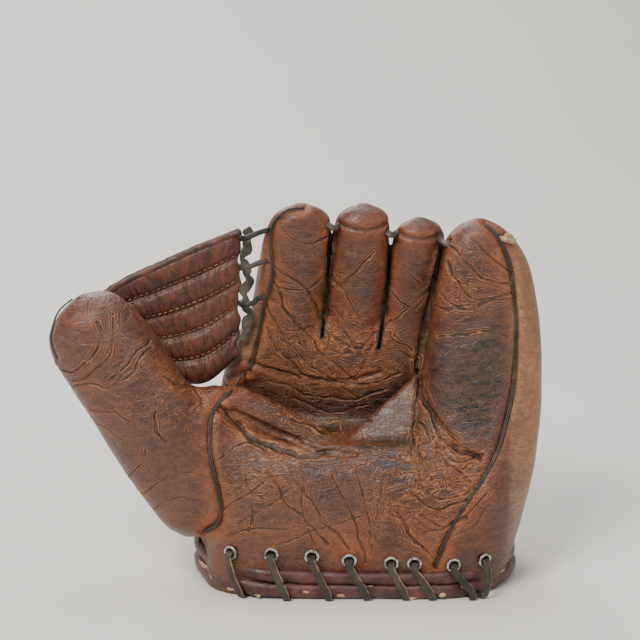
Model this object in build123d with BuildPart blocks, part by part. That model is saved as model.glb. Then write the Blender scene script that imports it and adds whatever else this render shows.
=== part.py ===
"""Fielder's glove for the left hand, standing on its heel rim with the palm facing -Y.

Millimetres, +Z up, +X towards the little finger. The origin is under the middle of the glove, on the
surface that it stands on.
"""
import os
from math import asin, cos, radians, sin

from build123d import *

# ---- Driving dimensions ----
LEATHER = 2.4                # outer leather
LINING = 1.2                 # soft inner leather
GAP = 0.3                    # clear air between layers
SEAM_AIR = 0.05              # clear air on each side of a seam
CUTTER = 700.0               # longer and wider than the glove, for the cutting blocks
FELT = 7.0                   # felt pad in a stall
WELT_WIDTH = 1.6             # seam welt, across the seam
WELT_PROUD = 1.2             # seam welt, above the leather

# A stall's stations are (centre x, y, z, half width, half depth), from its root to its tip.
THUMB = [(-68, -20, 38, 17, 16), (-76, -24, 58, 23, 20), (-89, -27, 94, 29.5, 23), (-107.5, -29, 128, 33, 25),
         (-121, -31, 157, 33, 25.5), (-129, -32, 178, 28.5, 24), (-133.5, -33, 191, 20, 17), (-136, -33, 199, 8, 7)]
INDEX = [(-9, 24, 151, 23, 18), (-4, 19, 185, 21.5, 18.5), (1, 12, 215, 21, 18), (2, 7, 236, 18, 14.5),
         (3, 5, 248, 10, 8)]
MIDDLE = [(37, 25, 151, 18, 17), (40, 20, 185, 17, 16.5), (42.5, 14, 215, 16.5, 16.5), (43.5, 9, 234, 14.5, 14),
          (44, 7, 246, 9, 8)]
RING = [(74, 25, 151, 15.5, 16), (76.5, 20, 185, 15, 15.5), (79, 14, 210, 15, 15.5), (80, 10, 226, 13, 13),
        (80, 8, 237, 8, 7.5)]
LITTLE = [(121, -8, 107.5, 35, 31), (121, -6, 150, 36.7, 26), (122, -5, 190, 34, 24), (121, -5, 215, 28.5, 21),
          (120, -5, 229, 20, 15), (119, -6, 238.5, 10, 8)]
STALLS = {"thumb": THUMB, "index": INDEX, "middle": MIDDLE, "ring": RING, "little": LITTLE}

# The hand body's stations are (centre x, centre y, z, width, depth) of rounded-end sections.
HAND = [(39, -3, 8, 204, 100), (41, -2, 30, 203, 108), (50, -1, 60, 206, 115), (55, 2, 85, 208, 108),
        (56, 8, 99, 204, 88), (56, 11, 105, 196, 70)]
HAND_SEAM_Y = 4
PALM_FELT = 12.0
HEEL_PAD_BACK_Y = -14        # the heel pad lies in front of this
PAD_FOOT_Z = 35.0            # the heel pad ends above the eyelets
SCOOP_RADIUS = 48.0
SCOOP_CENTRE = (22, -5, 138)
SCOOP_REACH = 60.0           # between the centres of its two round ends
PASSAGE_RADIUS = 9.0         # way for a finger from the hand body into its stall
PASSAGES = [(-8, 28), (36, 30), (72, 30), (122, 8)]
PASSAGE_FOOT_Z = 78
PASSAGE_LENGTH = 40
THUMB_PASSAGE = (-30, 2, 62)

# Pocket leather under the index, middle and ring stalls: (centre x, centre y, z, width, depth).
POCKET = [(20, 30, 107.5, 122, 40), (25, 27, 128, 124, 38), (28, 25, 150.2, 124, 36)]
POCKET_SEAM_Y = 27
POCKET_PAD_BACK_Y = 16
POCKET_LINING_Y = 18         # the lining starts behind this

# Folds: each is a place on the hinge line and the most that it turns.
THUMB_AXIS = (-47, -28, 0)
THUMB_FOLD = 35.0
THUMB_FOLD_FOOT_Z = 24.0     # the hand reaches under the thumb below this
FINGER_AXIS = (0, 24, 106)
FINGER_FOLD = 0.3 * THUMB_FOLD
FOLD_CLEAR = 0.5

# Heel rim
RIM_END_X = (-13, 91)        # centres of the two round ends
RIM_Y = -3
RIM_RADIUS = 50
BEAD_RADIUS = 3.2
BEAD_LEVELS = [7.0, 13.6]
EYELET_X = [-58, -41, -15, 10, 35, 62, 77, 102, 122]
EYELET_Z = 28.0
EYELET_HOLE = 5.2
EYELET_BORE_REACH = 30.0     # through the leather and the lining behind the rim's face
EYELET_FLANGE = 8.6
EYELET_PROUD = 2.6           # from the rim's face to the back of the flange
FLANGE_THICK = 0.8
BARREL_LENGTH = 4.5
LACE = 3.0
LACE_AIR = 0.35              # round a lace in its eyelet
LACE_BEND = 3.2
LACE_UNDER_Z = 1.8
LACE_TUCK = 4.0              # how far a lace's end runs behind the rim's face

# Web between the thumb and the index finger
WEB_OUTLINE = [(-112, 199), (-35, 231), (-31, 212), (-30, 192), (-36, 152), (-59, 132), (-74, 135), (-88, 150),
               (-103, 175)]
WEB_LEATHER = 1.8
WEB_FILL = 3.0
WEB_TURN = 4.0               # degrees, thumb side forward
WEB_PIVOT = (-33, 1, 0)
WEB_RIB_COUNT = 5
WEB_RIB_PITCH = 14.5
WEB_RISE = 22.6              # degrees, the slope of the web's top edge
EDGE_STRIP = 5.0
WEB_LACE_LEVELS = [226, 207, 183]

# Fingertip lace and its knot
TIP_LACE = [(-2, 4, 237.5), (151, -4.8, 227.6)]
TIP_HOLE = LACE + 1.2
KNOT_CENTRE = (149.5, -4.7, 227.7)
KNOT_RADIUS = 4.2
KNOT_BORE_END = (155, -5.1, 227.3)

# Wrist strap: a riveted root, and a free length that lifts off its stud
STRAP_FACE_Y = 56.0          # the strap's face on the glove
STRAP_Z = 34.0
STRAP_WIDTH = 24.0
STRAP_THICK = 2.6
RIVET_X = 92.0
STRAP_FOLD_X = 80.0          # the strap bends here
STUD_X = 24.0
STUD_RADIUS = 5.0
STUD_AIR = 0.7               # round the stud in the strap's hole
STUD_PROUD = 3.6
STUD_ROUNDING = 1.4
RIVET_RADIUS = 2.1
RIVET_HEAD_RADIUS = 4.5
RIVET_HEAD_THICK = 1.2
ANCHOR_DEPTH = 6.0           # how far the rivet and the stud reach in from the strap's face

os.makedirs("parts", exist_ok=True)


# ---- Helpers: each makes one plain solid ----
def stall_solid(stations, grow):
    """A stall: ellipses, square to its centre line if it leans, larger by grow on every side."""
    leaning = stations[0][0] - stations[-1][0] > 30
    centres = [Vector(*s[:3]) for s in stations]
    widest = max(s[3] for s in stations)
    with BuildPart() as solid:
        for i, (x, y, z, half_width, half_depth) in enumerate(stations):
            before = centres[max(i - 1, 0)]
            after = centres[min(i + 1, len(centres) - 1)]
            way = (after - before).normalized() if leaning else Vector(0, 0, 1)
            across = (Vector(1, 0, 0) - way * way.X).normalized()
            end = grow * (1 - half_width / widest) if i > len(stations) / 2 else 0
            with BuildSketch(Plane(centres[i] + way * end, x_dir=across, z_dir=way)):
                Ellipse(max(half_width + grow, 1.5), max(half_depth + grow, 1.2))
        loft()
    return solid.part


def hand_solid(side, front, back, low, high):
    """The hand body, drawn in by side, front and back, and moved at its two ends by low and high."""
    last = len(HAND) - 1
    foot, top = HAND[0][2], HAND[last][2]
    with BuildPart() as solid:
        for i, (x, y, z, width, depth) in enumerate(HAND):
            level = z + (low if i == 0 else high if i == last else high * (z - foot) / (top - foot))
            middle = y + (front - back) / 2
            with BuildSketch(Plane((x, middle, level))):
                SlotOverall(width - 2 * side, depth - front - back)
        loft()
    return solid.part


def pocket_solid(grow, low, high):
    """The pocket's leather block behind the ball, larger by grow, with its ends moved."""
    with BuildPart() as solid:
        for i, (x, y, z, width, depth) in enumerate(POCKET):
            level = z + (low if i == 0 else high if i == len(POCKET) - 1 else 0)
            with BuildSketch(Plane((x, y, level))):
                SlotOverall(width + 2 * grow, depth + 2 * grow)
        loft()
    return solid.part


def scoop_solid(grow):
    """The ball pocket: a capsule along X."""
    radius = SCOOP_RADIUS + grow
    x, y, z = SCOOP_CENTRE
    with BuildPart() as solid:
        with Locations(Location((x, y, z), (0, 90, 0))):
            Cylinder(radius, SCOOP_REACH)
        with Locations((x - SCOOP_REACH / 2, y, z), (x + SCOOP_REACH / 2, y, z)):
            Sphere(radius)
    return solid.part


def side_block(y):
    """Everything in front of the plane at y, as a block."""
    with BuildPart() as solid:
        with Locations((0, y, 0)):
            Box(CUTTER, CUTTER, CUTTER, align=(Align.CENTER, Align.MAX, Align.CENTER))
    return solid.part


def slab(y, thick):
    """A thin upright slab that holds a seam."""
    with BuildPart() as solid:
        with Locations((0, y, 0)):
            Box(CUTTER, thick, CUTTER)
    return solid.part


def rod(start, end, radius):
    """A plain round rod between two points."""
    a, b = Vector(*start), Vector(*end)
    with BuildPart() as solid:
        with BuildSketch(Plane(a, z_dir=(b - a).normalized())):
            Circle(radius)
        extrude(amount=(b - a).length)
    return solid.part


def thumb_room():
    """What the thumb's pieces may not fill: the hand's side of the fold, at rest and folded."""
    x, y, _ = THUMB_AXIS
    with BuildPart() as solid:
        with Locations(Location((x - FOLD_CLEAR, y, 0)), Location((x - FOLD_CLEAR, y, 0), (0, 0, -THUMB_FOLD))):
            Box(CUTTER, CUTTER, CUTTER, align=(Align.MIN, Align.CENTER, Align.CENTER))
    return solid.part


def hand_room():
    """What the hand's pieces may not fill: the thumb's side of the fold, above the heel."""
    x, y, _ = THUMB_AXIS
    with BuildPart() as solid:
        with Locations((x, y, THUMB_FOLD_FOOT_Z)):
            Box(CUTTER, CUTTER, CUTTER, align=(Align.MAX, Align.CENTER, Align.MIN))
    return solid.part


def finger_room():
    """What the fingers' pieces may not fill: the hand's side of the fold, at rest and folded."""
    x, y, z = FINGER_AXIS
    with BuildPart() as solid:
        with Locations(Location((x, y, z + FOLD_CLEAR)), Location((x, y, z + FOLD_CLEAR), (-FINGER_FOLD, 0, 0))):
            Box(CUTTER, CUTTER, CUTTER, align=(Align.CENTER, Align.CENTER, Align.MAX))
    return solid.part


def rim_place(x):
    """Where the heel rim's face is at x, and the direction that it faces, as (y, x part, y part)."""
    left, right = RIM_END_X
    reach = RIM_RADIUS + 3
    if left <= x <= right:
        return RIM_Y - reach, 0.0, -1.0
    away = x - (left if x < left else right)
    turn = asin(max(-1.0, min(1.0, away / reach)))
    return RIM_Y - reach * cos(turn), sin(turn), -cos(turn)


def finish(part, name):
    """Label a finished piece and write it."""
    part.label = name
    export_step(part, f"parts/{name}.step")


# ---- Cutting tools shared by the pieces ----
thumb_cut = thumb_room()
hand_cut = hand_room()
finger_cut = finger_room()
tip_bore = rod(*TIP_LACE, TIP_HOLE / 2)

with BuildPart() as eyelet_bores:
    for x in EYELET_X:
        y, nx, ny = rim_place(x)
        with Locations(Plane((x, y, EYELET_Z), z_dir=(nx, ny, 0)).location):
            Cylinder(EYELET_HOLE / 2, 2 * EYELET_BORE_REACH)

# ---- The five stalls: front leather, back leather, welt, felt pad and lining ----
for name, stations in STALLS.items():
    room = thumb_cut if name == "thumb" else finger_cut
    seam_y = stations[3][1] if name == "thumb" else stations[2][1]
    outer = stall_solid(stations, 0)
    proud = stall_solid(stations, WELT_PROUD)
    inner = stall_solid(stations, -LEATHER)
    lining_outer = stall_solid(stations, -LEATHER - GAP)
    lining_inner = stall_solid(stations, -LEATHER - GAP - LINING)
    front = side_block(seam_y - WELT_WIDTH / 2 - SEAM_AIR)
    seam = slab(seam_y, WELT_WIDTH)
    behind_felt = [(x, y + FELT, z, wide, deep) for x, y, z, wide, deep in stations]

    with BuildPart() as stall_front:
        add(outer)
        add(inner, mode=Mode.SUBTRACT)
        add(front, mode=Mode.INTERSECT)
        add(room, mode=Mode.SUBTRACT)
        if name != "thumb":
            add(tip_bore, mode=Mode.SUBTRACT)
    finish(stall_front.part, f"{name}_front_leather")

    with BuildPart() as stall_back:
        add(outer)
        add(inner, mode=Mode.SUBTRACT)
        add(side_block(seam_y + WELT_WIDTH / 2 + SEAM_AIR), mode=Mode.SUBTRACT)
        add(room, mode=Mode.SUBTRACT)
        if name != "thumb":
            add(tip_bore, mode=Mode.SUBTRACT)
    finish(stall_back.part, f"{name}_back_leather")

    with BuildPart() as stall_welt:
        add(proud)
        add(inner, mode=Mode.SUBTRACT)
        add(seam, mode=Mode.INTERSECT)
        add(room, mode=Mode.SUBTRACT)
        if name != "thumb":
            add(tip_bore, mode=Mode.SUBTRACT)
    finish(stall_welt.part, f"{name}_welt")

    with BuildPart() as stall_lining:
        add(lining_outer)
        add(lining_inner, mode=Mode.SUBTRACT)
        add(room, mode=Mode.SUBTRACT)
        if name != "thumb":
            add(tip_bore, mode=Mode.SUBTRACT)
    finish(stall_lining.part, f"{name}_lining")

    with BuildPart() as stall_pad:
        add(stall_solid(stations, -LEATHER - 2 * GAP - LINING))
        add(stall_solid(behind_felt, -LEATHER - 2 * GAP - LINING), mode=Mode.SUBTRACT)
        add(front, mode=Mode.INTERSECT)
        add(room, mode=Mode.SUBTRACT)
        if name != "thumb":
            add(tip_bore, mode=Mode.SUBTRACT)
    finish(stall_pad.part, f"{name}_pad")
    print(name, [p.part.is_valid for p in (stall_front, stall_back, stall_welt, stall_lining, stall_pad)])

# ---- The hand body: palm and back leathers, felt heel pad and lining ----
hand_outer = hand_solid(0, 0, 0, 0, 0)
scoop = scoop_solid(0)
with BuildPart() as passages:
    with Locations(*[(x, y, PASSAGE_FOOT_Z) for x, y in PASSAGES]):
        Cylinder(PASSAGE_RADIUS, PASSAGE_LENGTH, align=(Align.CENTER, Align.CENTER, Align.MIN))
    with Locations(Location(THUMB_PASSAGE, (0, -90, 0))):
        Cylinder(PASSAGE_RADIUS, PASSAGE_LENGTH, align=(Align.CENTER, Align.CENTER, Align.MIN))
with BuildPart() as hand_hollow:
    add(hand_solid(LEATHER, LEATHER, LEATHER, -1, -LEATHER))
    add(scoop_solid(LEATHER), mode=Mode.SUBTRACT)
    with Locations(THUMB_AXIS):
        Box(2 * LEATHER, CUTTER, CUTTER, mode=Mode.SUBTRACT)
with BuildPart() as hand_leather:
    add(hand_outer)
    add(scoop, mode=Mode.SUBTRACT)
    add(hand_hollow.part, mode=Mode.SUBTRACT)
    add(passages.part, mode=Mode.SUBTRACT)
    add(eyelet_bores.part, mode=Mode.SUBTRACT)
    add(hand_cut, mode=Mode.SUBTRACT)

with BuildPart() as palm_front:
    add(hand_leather.part)
    add(side_block(HAND_SEAM_Y), mode=Mode.INTERSECT)
finish(palm_front.part, "palm_front_leather")

with BuildPart() as palm_back:
    add(hand_leather.part)
    add(side_block(HAND_SEAM_Y + SEAM_AIR), mode=Mode.SUBTRACT)
finish(palm_back.part, "palm_back_leather")

lining_front = LEATHER + PALM_FELT + GAP
lining_back = LEATHER + GAP
lining_side = lining_back + PALM_FELT / 2 + GAP
with BuildPart() as palm_pad:
    add(hand_solid(LEATHER + GAP, LEATHER + GAP, LEATHER + GAP, 0, -LEATHER - GAP))
    add(hand_solid(lining_side - GAP, lining_front - GAP, lining_back - GAP, -1, -1), mode=Mode.SUBTRACT)
    with Locations((0, 0, PAD_FOOT_Z)):
        Box(CUTTER, CUTTER, CUTTER, align=(Align.CENTER, Align.CENTER, Align.MAX), mode=Mode.SUBTRACT)
    add(scoop_solid(LEATHER + GAP), mode=Mode.SUBTRACT)
    add(side_block(HEEL_PAD_BACK_Y), mode=Mode.INTERSECT)
    with Locations(THUMB_AXIS):
        Box(2 * LEATHER + 2 * GAP, CUTTER, CUTTER, mode=Mode.SUBTRACT)
    add(hand_cut, mode=Mode.SUBTRACT)
finish(palm_pad.part, "heel_pad")

with BuildPart() as lining_room:
    add(hand_solid(lining_side + LINING, lining_front + LINING, lining_back + LINING, -2,
                   -LEATHER - GAP - LINING))
    add(scoop_solid(LEATHER + 2 * GAP + LINING), mode=Mode.SUBTRACT)
with BuildPart() as palm_lining:
    add(hand_solid(lining_side, lining_front, lining_back, 0, -LEATHER - GAP))
    add(scoop_solid(LEATHER + 2 * GAP), mode=Mode.SUBTRACT)
    add(lining_room.part, mode=Mode.SUBTRACT)
    add(passages.part, mode=Mode.SUBTRACT)
    add(eyelet_bores.part, mode=Mode.SUBTRACT)
    with Locations((THUMB_AXIS[0] + LEATHER + 2 * GAP, 0, 0)):
        Box(CUTTER, CUTTER, CUTTER, align=(Align.MAX, Align.CENTER, Align.CENTER), mode=Mode.SUBTRACT)
finish(palm_lining.part, "palm_lining")
print("palm", [p.part.is_valid for p in (palm_front, palm_back, palm_pad, palm_lining)],
      [len(p.part.solids()) for p in (palm_front, palm_back, palm_pad, palm_lining)])

# ---- Pocket: the leather, felt and lining behind the ball, under three of the stalls ----
pocket_outer = pocket_solid(0, 0, 0)
pocket_hollow = pocket_solid(-LEATHER, -1, 1)
with BuildPart() as pocket_front:
    add(pocket_outer)
    add(pocket_hollow, mode=Mode.SUBTRACT)
    add(side_block(POCKET_SEAM_Y), mode=Mode.INTERSECT)
    add(finger_cut, mode=Mode.SUBTRACT)
finish(pocket_front.part, "pocket_leather")

with BuildPart() as pocket_back:
    add(pocket_outer)
    add(pocket_hollow, mode=Mode.SUBTRACT)
    add(side_block(POCKET_SEAM_Y + SEAM_AIR), mode=Mode.SUBTRACT)
    add(finger_cut, mode=Mode.SUBTRACT)
finish(pocket_back.part, "knuckle_back_leather")

with BuildPart() as pocket_pad:
    add(pocket_solid(-LEATHER - GAP, 0, -GAP))
    add(side_block(POCKET_PAD_BACK_Y), mode=Mode.INTERSECT)
    add(finger_cut, mode=Mode.SUBTRACT)
finish(pocket_pad.part, "pocket_pad")

with BuildPart() as pocket_lining:
    add(pocket_solid(-LEATHER - GAP, 0, -GAP))
    add(pocket_solid(-LEATHER - GAP - LINING, -1, 1), mode=Mode.SUBTRACT)
    add(side_block(POCKET_LINING_Y), mode=Mode.SUBTRACT)
    add(finger_cut, mode=Mode.SUBTRACT)
finish(pocket_lining.part, "pocket_lining")

# ---- Heel rim: two-bead binding in front, a plain bead behind, eyelets and the heel lace ----
def rim_bead(level, reach, front):
    """One bead of the binding: a round bar along the front or the back of the rim."""
    middle = (RIM_END_X[0] + RIM_END_X[1]) / 2
    width = RIM_END_X[1] - RIM_END_X[0] + 2 * reach
    with BuildPart() as bead:
        with BuildSketch(Plane((middle, RIM_Y, level))):
            SlotOverall(width, 2 * reach)
            SlotOverall(width - 4 * BEAD_RADIUS, 2 * reach - 4 * BEAD_RADIUS, mode=Mode.SUBTRACT)
        extrude(amount=BEAD_RADIUS - 0.1, both=True)
        fillet(bead.edges().filter_by(Plane.XY), BEAD_RADIUS * 0.8)
        if front:
            add(side_block(RIM_Y), mode=Mode.INTERSECT)
        else:
            add(side_block(RIM_Y + GAP), mode=Mode.SUBTRACT)
    return bead.part


BINDING_REACH = RIM_RADIUS + 3 + GAP + 2 * BEAD_RADIUS
with BuildPart() as heel_binding:
    for level in BEAD_LEVELS:
        add(rim_bead(level, BINDING_REACH, True))
finish(heel_binding.part, "heel_binding")

with BuildPart() as wrist_binding:
    add(rim_bead(BEAD_LEVELS[0], BINDING_REACH, False))
finish(wrist_binding.part, "wrist_binding")

with BuildPart() as heel_eyelets:
    for x in EYELET_X:
        y, nx, ny = rim_place(x)
        face = Plane((x + nx * EYELET_PROUD, y + ny * EYELET_PROUD, EYELET_Z), z_dir=(nx, ny, 0))
        with BuildSketch(face):
            Circle(EYELET_FLANGE / 2)
            Circle(LACE / 2 + LACE_AIR, mode=Mode.SUBTRACT)
        extrude(amount=FLANGE_THICK)
        with BuildSketch(face):
            Circle(EYELET_HOLE / 2 - SEAM_AIR)
            Circle(LACE / 2 + LACE_AIR, mode=Mode.SUBTRACT)
        extrude(amount=-BARREL_LENGTH)
finish(heel_eyelets.part, "heel_eyelets")

with BuildPart() as heel_lace:
    for x in EYELET_X:
        y, nx, ny = rim_place(x)
        out = 2 * BEAD_RADIUS + LACE / 2 + 1.5 * GAP
        route = [(x - nx * LACE_TUCK, y - ny * LACE_TUCK, EYELET_Z), (x + nx * out, y + ny * out, EYELET_Z),
                 (x + nx * out, y + ny * out, LACE_UNDER_Z), (x - nx * LACE_TUCK, y - ny * LACE_TUCK, LACE_UNDER_Z)]
        with BuildLine() as run:
            FilletPolyline(*route, radius=LACE_BEND)
        with BuildSketch(Plane(route[0], z_dir=(nx, ny, 0))):
            Circle(LACE / 2)
        sweep(path=run.line)
finish(heel_lace.part, "heel_lace")

# ---- Fingertip lace with its knot ----
with BuildPart() as tip_lace:
    add(rod(*TIP_LACE, LACE / 2))
finish(tip_lace.part, "fingertip_lace")

with BuildPart() as tip_knot:
    with Locations(KNOT_CENTRE):
        Sphere(KNOT_RADIUS)
    add(rod(TIP_LACE[0], KNOT_BORE_END, LACE / 2 + 2 * SEAM_AIR), mode=Mode.SUBTRACT)
finish(tip_knot.part, "fingertip_knot")

# ---- Web ----
web_plane = Plane(WEB_PIVOT, x_dir=(cos(radians(WEB_TURN)), sin(radians(WEB_TURN)), 0),
                  z_dir=(sin(radians(WEB_TURN)), -cos(radians(WEB_TURN)), 0))
web_depth = WEB_FILL / 2 + WEB_LEATHER
local_outline = [(x - WEB_PIVOT[0], z) for x, z in WEB_OUTLINE]
rise = radians(WEB_RISE)


def web_sheet(start, end):
    """The web's outline between two depths in front of its middle."""
    with BuildPart() as sheet:
        with BuildSketch(web_plane.offset(start)):
            with BuildLine():
                Polyline(*local_outline, close=True)
            make_face()
        extrude(amount=end - start)
    return sheet.part


def web_rows(offset, half_height, half_length, depth, radius=None):
    """Bars along the web's slope, one at each rib pitch, moved across the slope by offset."""
    top = Vector(-38 - WEB_PIVOT[0] - 34, 213)
    with BuildPart() as rows:
        with BuildSketch(web_plane.offset(-depth)):
            for i in range(WEB_RIB_COUNT):
                down = 7.5 + WEB_RIB_PITCH * i + offset
                place = Vector(top.X + down * sin(rise), top.Y - down * cos(rise))
                with Locations(Location((place.X, place.Y, 0), (0, 0, WEB_RISE))):
                    SlotOverall(2 * half_length, 2 * half_height)
        extrude(amount=2 * depth)
    return rows.part


with BuildPart() as strip_side:
    with Locations(web_plane * Location((-EDGE_STRIP, 180, 0), (0, 0, 0))):
        Box(60, 200, 60, align=(Align.MIN, Align.CENTER, Align.CENTER))
with BuildPart() as web_holes:
    for level in WEB_LACE_LEVELS:
        with Locations(Location((WEB_PIVOT[0] - 0.6, 0, level), (90, 0, 0))):
            Cylinder(LACE / 2 + 0.5, 40)

with BuildPart() as web_front:
    add(web_sheet(WEB_FILL / 2 + 0.05, web_depth))
    add(strip_side.part, mode=Mode.SUBTRACT)
finish(web_front.part, "web_front_leather")

with BuildPart() as web_back:
    add(web_sheet(-web_depth, -WEB_FILL / 2 - 0.05))
    add(strip_side.part, mode=Mode.SUBTRACT)
finish(web_back.part, "web_back_leather")

with BuildPart() as web_ribs:
    add(web_rows(0, WEB_RIB_PITCH / 2 - 2, 60, WEB_FILL / 2))
    add(web_sheet(-web_depth, web_depth), mode=Mode.INTERSECT)
    add(strip_side.part, mode=Mode.SUBTRACT)
finish(web_ribs.part, "web_rib_pads")

with BuildPart() as web_thread:
    add(web_rows(WEB_RIB_PITCH / 2 - 1, 0.4, 60, 0.4))
    add(web_rows(WEB_RIB_PITCH / 2 + 1, 0.4, 60, 0.4))
    add(web_sheet(-web_depth, web_depth), mode=Mode.INTERSECT)
    add(strip_side.part, mode=Mode.SUBTRACT)
finish(web_thread.part, "web_stitching")

with BuildPart() as web_edge:
    add(web_sheet(-1.2, 1.2))
    add(strip_side.part, mode=Mode.INTERSECT)
    add(web_holes.part, mode=Mode.SUBTRACT)
finish(web_edge.part, "web_edge_strip")

with BuildPart() as web_lace:
    for level in WEB_LACE_LEVELS:
        route = [(WEB_PIVOT[0] - 0.6, 8, level), (WEB_PIVOT[0] - 0.6, -4.5, level), (-26, -4.5, level + 2)]
        with BuildLine() as run:
            FilletPolyline(*route, radius=LACE_BEND)
        with BuildSketch(Plane(route[0], z_dir=(0, -1, 0))):
            Circle(LACE / 2)
        sweep(path=run.line)
finish(web_lace.part, "web_laces")

# ---- Wrist strap: its riveted root, its free length, the rivet and the stud ----
strap_plane = Plane((STRAP_FOLD_X, STRAP_FACE_Y, STRAP_Z), x_dir=(-1, 0, 0), z_dir=(0, 1, 0))
hand_clear = hand_solid(-2 * SEAM_AIR, -2 * SEAM_AIR, -2 * SEAM_AIR, 0, 0)
stud_reach = STRAP_FOLD_X - STUD_X
rivet_reach = RIVET_X - STRAP_FOLD_X
with BuildPart() as strap_root:
    with BuildSketch(strap_plane):
        with Locations((-rivet_reach, 0)):
            Circle(STRAP_WIDTH / 2)
        with Locations((-rivet_reach / 2, 0)):
            Rectangle(rivet_reach, STRAP_WIDTH)
        with Locations((-rivet_reach, 0)):
            Circle(RIVET_RADIUS + LACE_AIR, mode=Mode.SUBTRACT)
    extrude(amount=STRAP_THICK)
finish(strap_root.part, "strap_root")

with BuildPart() as wrist_strap:
    with BuildSketch(strap_plane):
        with Locations(((stud_reach + GAP) / 2, 0)):
            Rectangle(stud_reach - GAP, STRAP_WIDTH)
        with Locations((stud_reach, 0)):
            Circle(STRAP_WIDTH / 2)
            Circle(STUD_RADIUS + STUD_AIR, mode=Mode.SUBTRACT)
    extrude(amount=STRAP_THICK)
finish(wrist_strap.part, "wrist_strap")

with BuildPart() as strap_rivet:
    with BuildSketch(Plane((RIVET_X, STRAP_FACE_Y - ANCHOR_DEPTH, STRAP_Z), z_dir=(0, 1, 0))):
        Circle(RIVET_RADIUS)
    extrude(amount=ANCHOR_DEPTH + STRAP_THICK + GAP)
    with BuildSketch(Plane((RIVET_X, STRAP_FACE_Y + STRAP_THICK + GAP, STRAP_Z), z_dir=(0, 1, 0))):
        Circle(RIVET_HEAD_RADIUS)
    extrude(amount=RIVET_HEAD_THICK)
    add(hand_clear, mode=Mode.SUBTRACT)
finish(strap_rivet.part, "strap_rivet")

with BuildPart() as strap_stud:
    with BuildSketch(Plane((STUD_X, STRAP_FACE_Y - ANCHOR_DEPTH, STRAP_Z), z_dir=(0, 1, 0))):
        Circle(STUD_RADIUS)
    extrude(amount=ANCHOR_DEPTH + STRAP_THICK + STUD_PROUD)
    fillet(strap_stud.edges().group_by(Axis.Y)[-1], STUD_ROUNDING)
    add(hand_clear, mode=Mode.SUBTRACT)
finish(strap_stud.part, "strap_stud")
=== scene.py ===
"""Looks of a vintage fielder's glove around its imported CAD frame. Shapes are worked out in millimetres."""
import math

import bpy
import numpy as np
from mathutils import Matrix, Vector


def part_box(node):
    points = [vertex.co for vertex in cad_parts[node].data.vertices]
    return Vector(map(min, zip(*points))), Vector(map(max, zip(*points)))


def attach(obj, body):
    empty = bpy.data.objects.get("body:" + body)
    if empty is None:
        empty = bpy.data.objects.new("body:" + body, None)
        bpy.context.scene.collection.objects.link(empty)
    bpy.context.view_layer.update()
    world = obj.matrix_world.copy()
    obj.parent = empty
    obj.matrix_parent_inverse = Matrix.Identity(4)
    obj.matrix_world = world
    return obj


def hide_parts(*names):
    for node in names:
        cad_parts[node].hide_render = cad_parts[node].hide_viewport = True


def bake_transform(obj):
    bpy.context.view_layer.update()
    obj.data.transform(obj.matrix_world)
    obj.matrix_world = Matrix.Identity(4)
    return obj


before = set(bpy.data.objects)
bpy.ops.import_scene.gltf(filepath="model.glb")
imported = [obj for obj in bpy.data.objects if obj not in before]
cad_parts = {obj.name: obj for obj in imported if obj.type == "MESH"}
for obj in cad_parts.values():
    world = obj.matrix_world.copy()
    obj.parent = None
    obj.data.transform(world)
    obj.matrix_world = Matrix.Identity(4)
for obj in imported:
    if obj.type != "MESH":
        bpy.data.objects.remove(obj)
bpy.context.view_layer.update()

import openvdb
from mathutils import Vector

MM = 0.001
VOXEL = 1.05

# ---- Places, in millimetres ----
# A stall's stations are (centre x, y, z, half width, half depth), from its root to its tip.
THUMB = [(-65.5, -19, 36, 10, 9), (-66, -22, 50.5, 21.5, 16), (-71, -24, 65, 26, 20), (-79, -27, 85.5, 30, 23),
         (-89, -29, 108.5, 33, 25), (-101, -31, 130, 32, 26), (-112, -32, 148.5, 32, 26),
         (-120.5, -33, 163, 31.5, 25.5),
         (-128.5, -33, 176, 28.5, 23.5), (-132.5, -33, 185, 24.5, 20), (-134, -33, 192, 16.5, 13.5),
         (-135, -33, 197, 3, 3)]
INDEX = [(-13, 33, 112, 28, 15), (-12, 29, 132, 29.5, 17), (-8, 24, 151, 27.5, 18), (-3.5, 18, 185, 24, 19),
         (1, 11, 213, 24, 18.5), (3.5, 6, 232, 21.5, 16), (4, 3, 243, 15, 10.5), (4, 2, 248.5, 3, 3)]
MIDDLE = [(34, 36, 112, 22, 13), (36, 29, 132, 21, 16), (38, 24, 151, 19.5, 17), (40.5, 19, 185, 20, 17),
          (42.5, 13, 215, 19.5, 17.5), (43.5, 9, 232, 18, 15.5), (44, 7, 242, 14, 11), (44, 6, 247.5, 3, 3)]
RING = [(70, 38, 112, 19, 12), (71, 30, 132, 18, 16), (73.5, 25, 151, 18, 16.5), (76.5, 20, 185, 17.5, 16.5),
        (79, 14, 210, 18, 16.5), (80, 10, 224, 16.5, 14.5), (80.5, 8, 233, 12.5, 10), (80.5, 7, 238.5, 3, 3)]
LITTLE = [(100, -14, 44, 46, 34), (108, -15, 70, 46, 34), (116, -13, 96, 42.5, 32), (121, -9, 118, 39.5, 29),
          (122, -6, 142, 38.5, 26), (122.5, -5, 168, 36.5, 24.5), (121.5, -5, 192, 33.5, 23.5),
          (120.5, -6, 213, 29, 21), (119, -7, 227, 22, 16.5), (118, -8, 236, 13, 10.5), (118, -8, 241, 3, 3)]
# Levels of the hand body: (z, left x, right x, front y, back y)
HAND = [(0, -62, 139, -49, 48), (12, -63, 142, -51, 51), (28, -61, 146, -54, 53.2), (48, -58, 150, -57.5, 54.8),
        (66, -56, 152, -58.5, 55.2), (80, -54, 150, -56, 54.8), (92, -52, 146, -49, 54),
        (100, -48, 142, -36, 53),
        (106, -40, 132, -18, 51), (112, -20, 104, 0, 47)]
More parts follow.
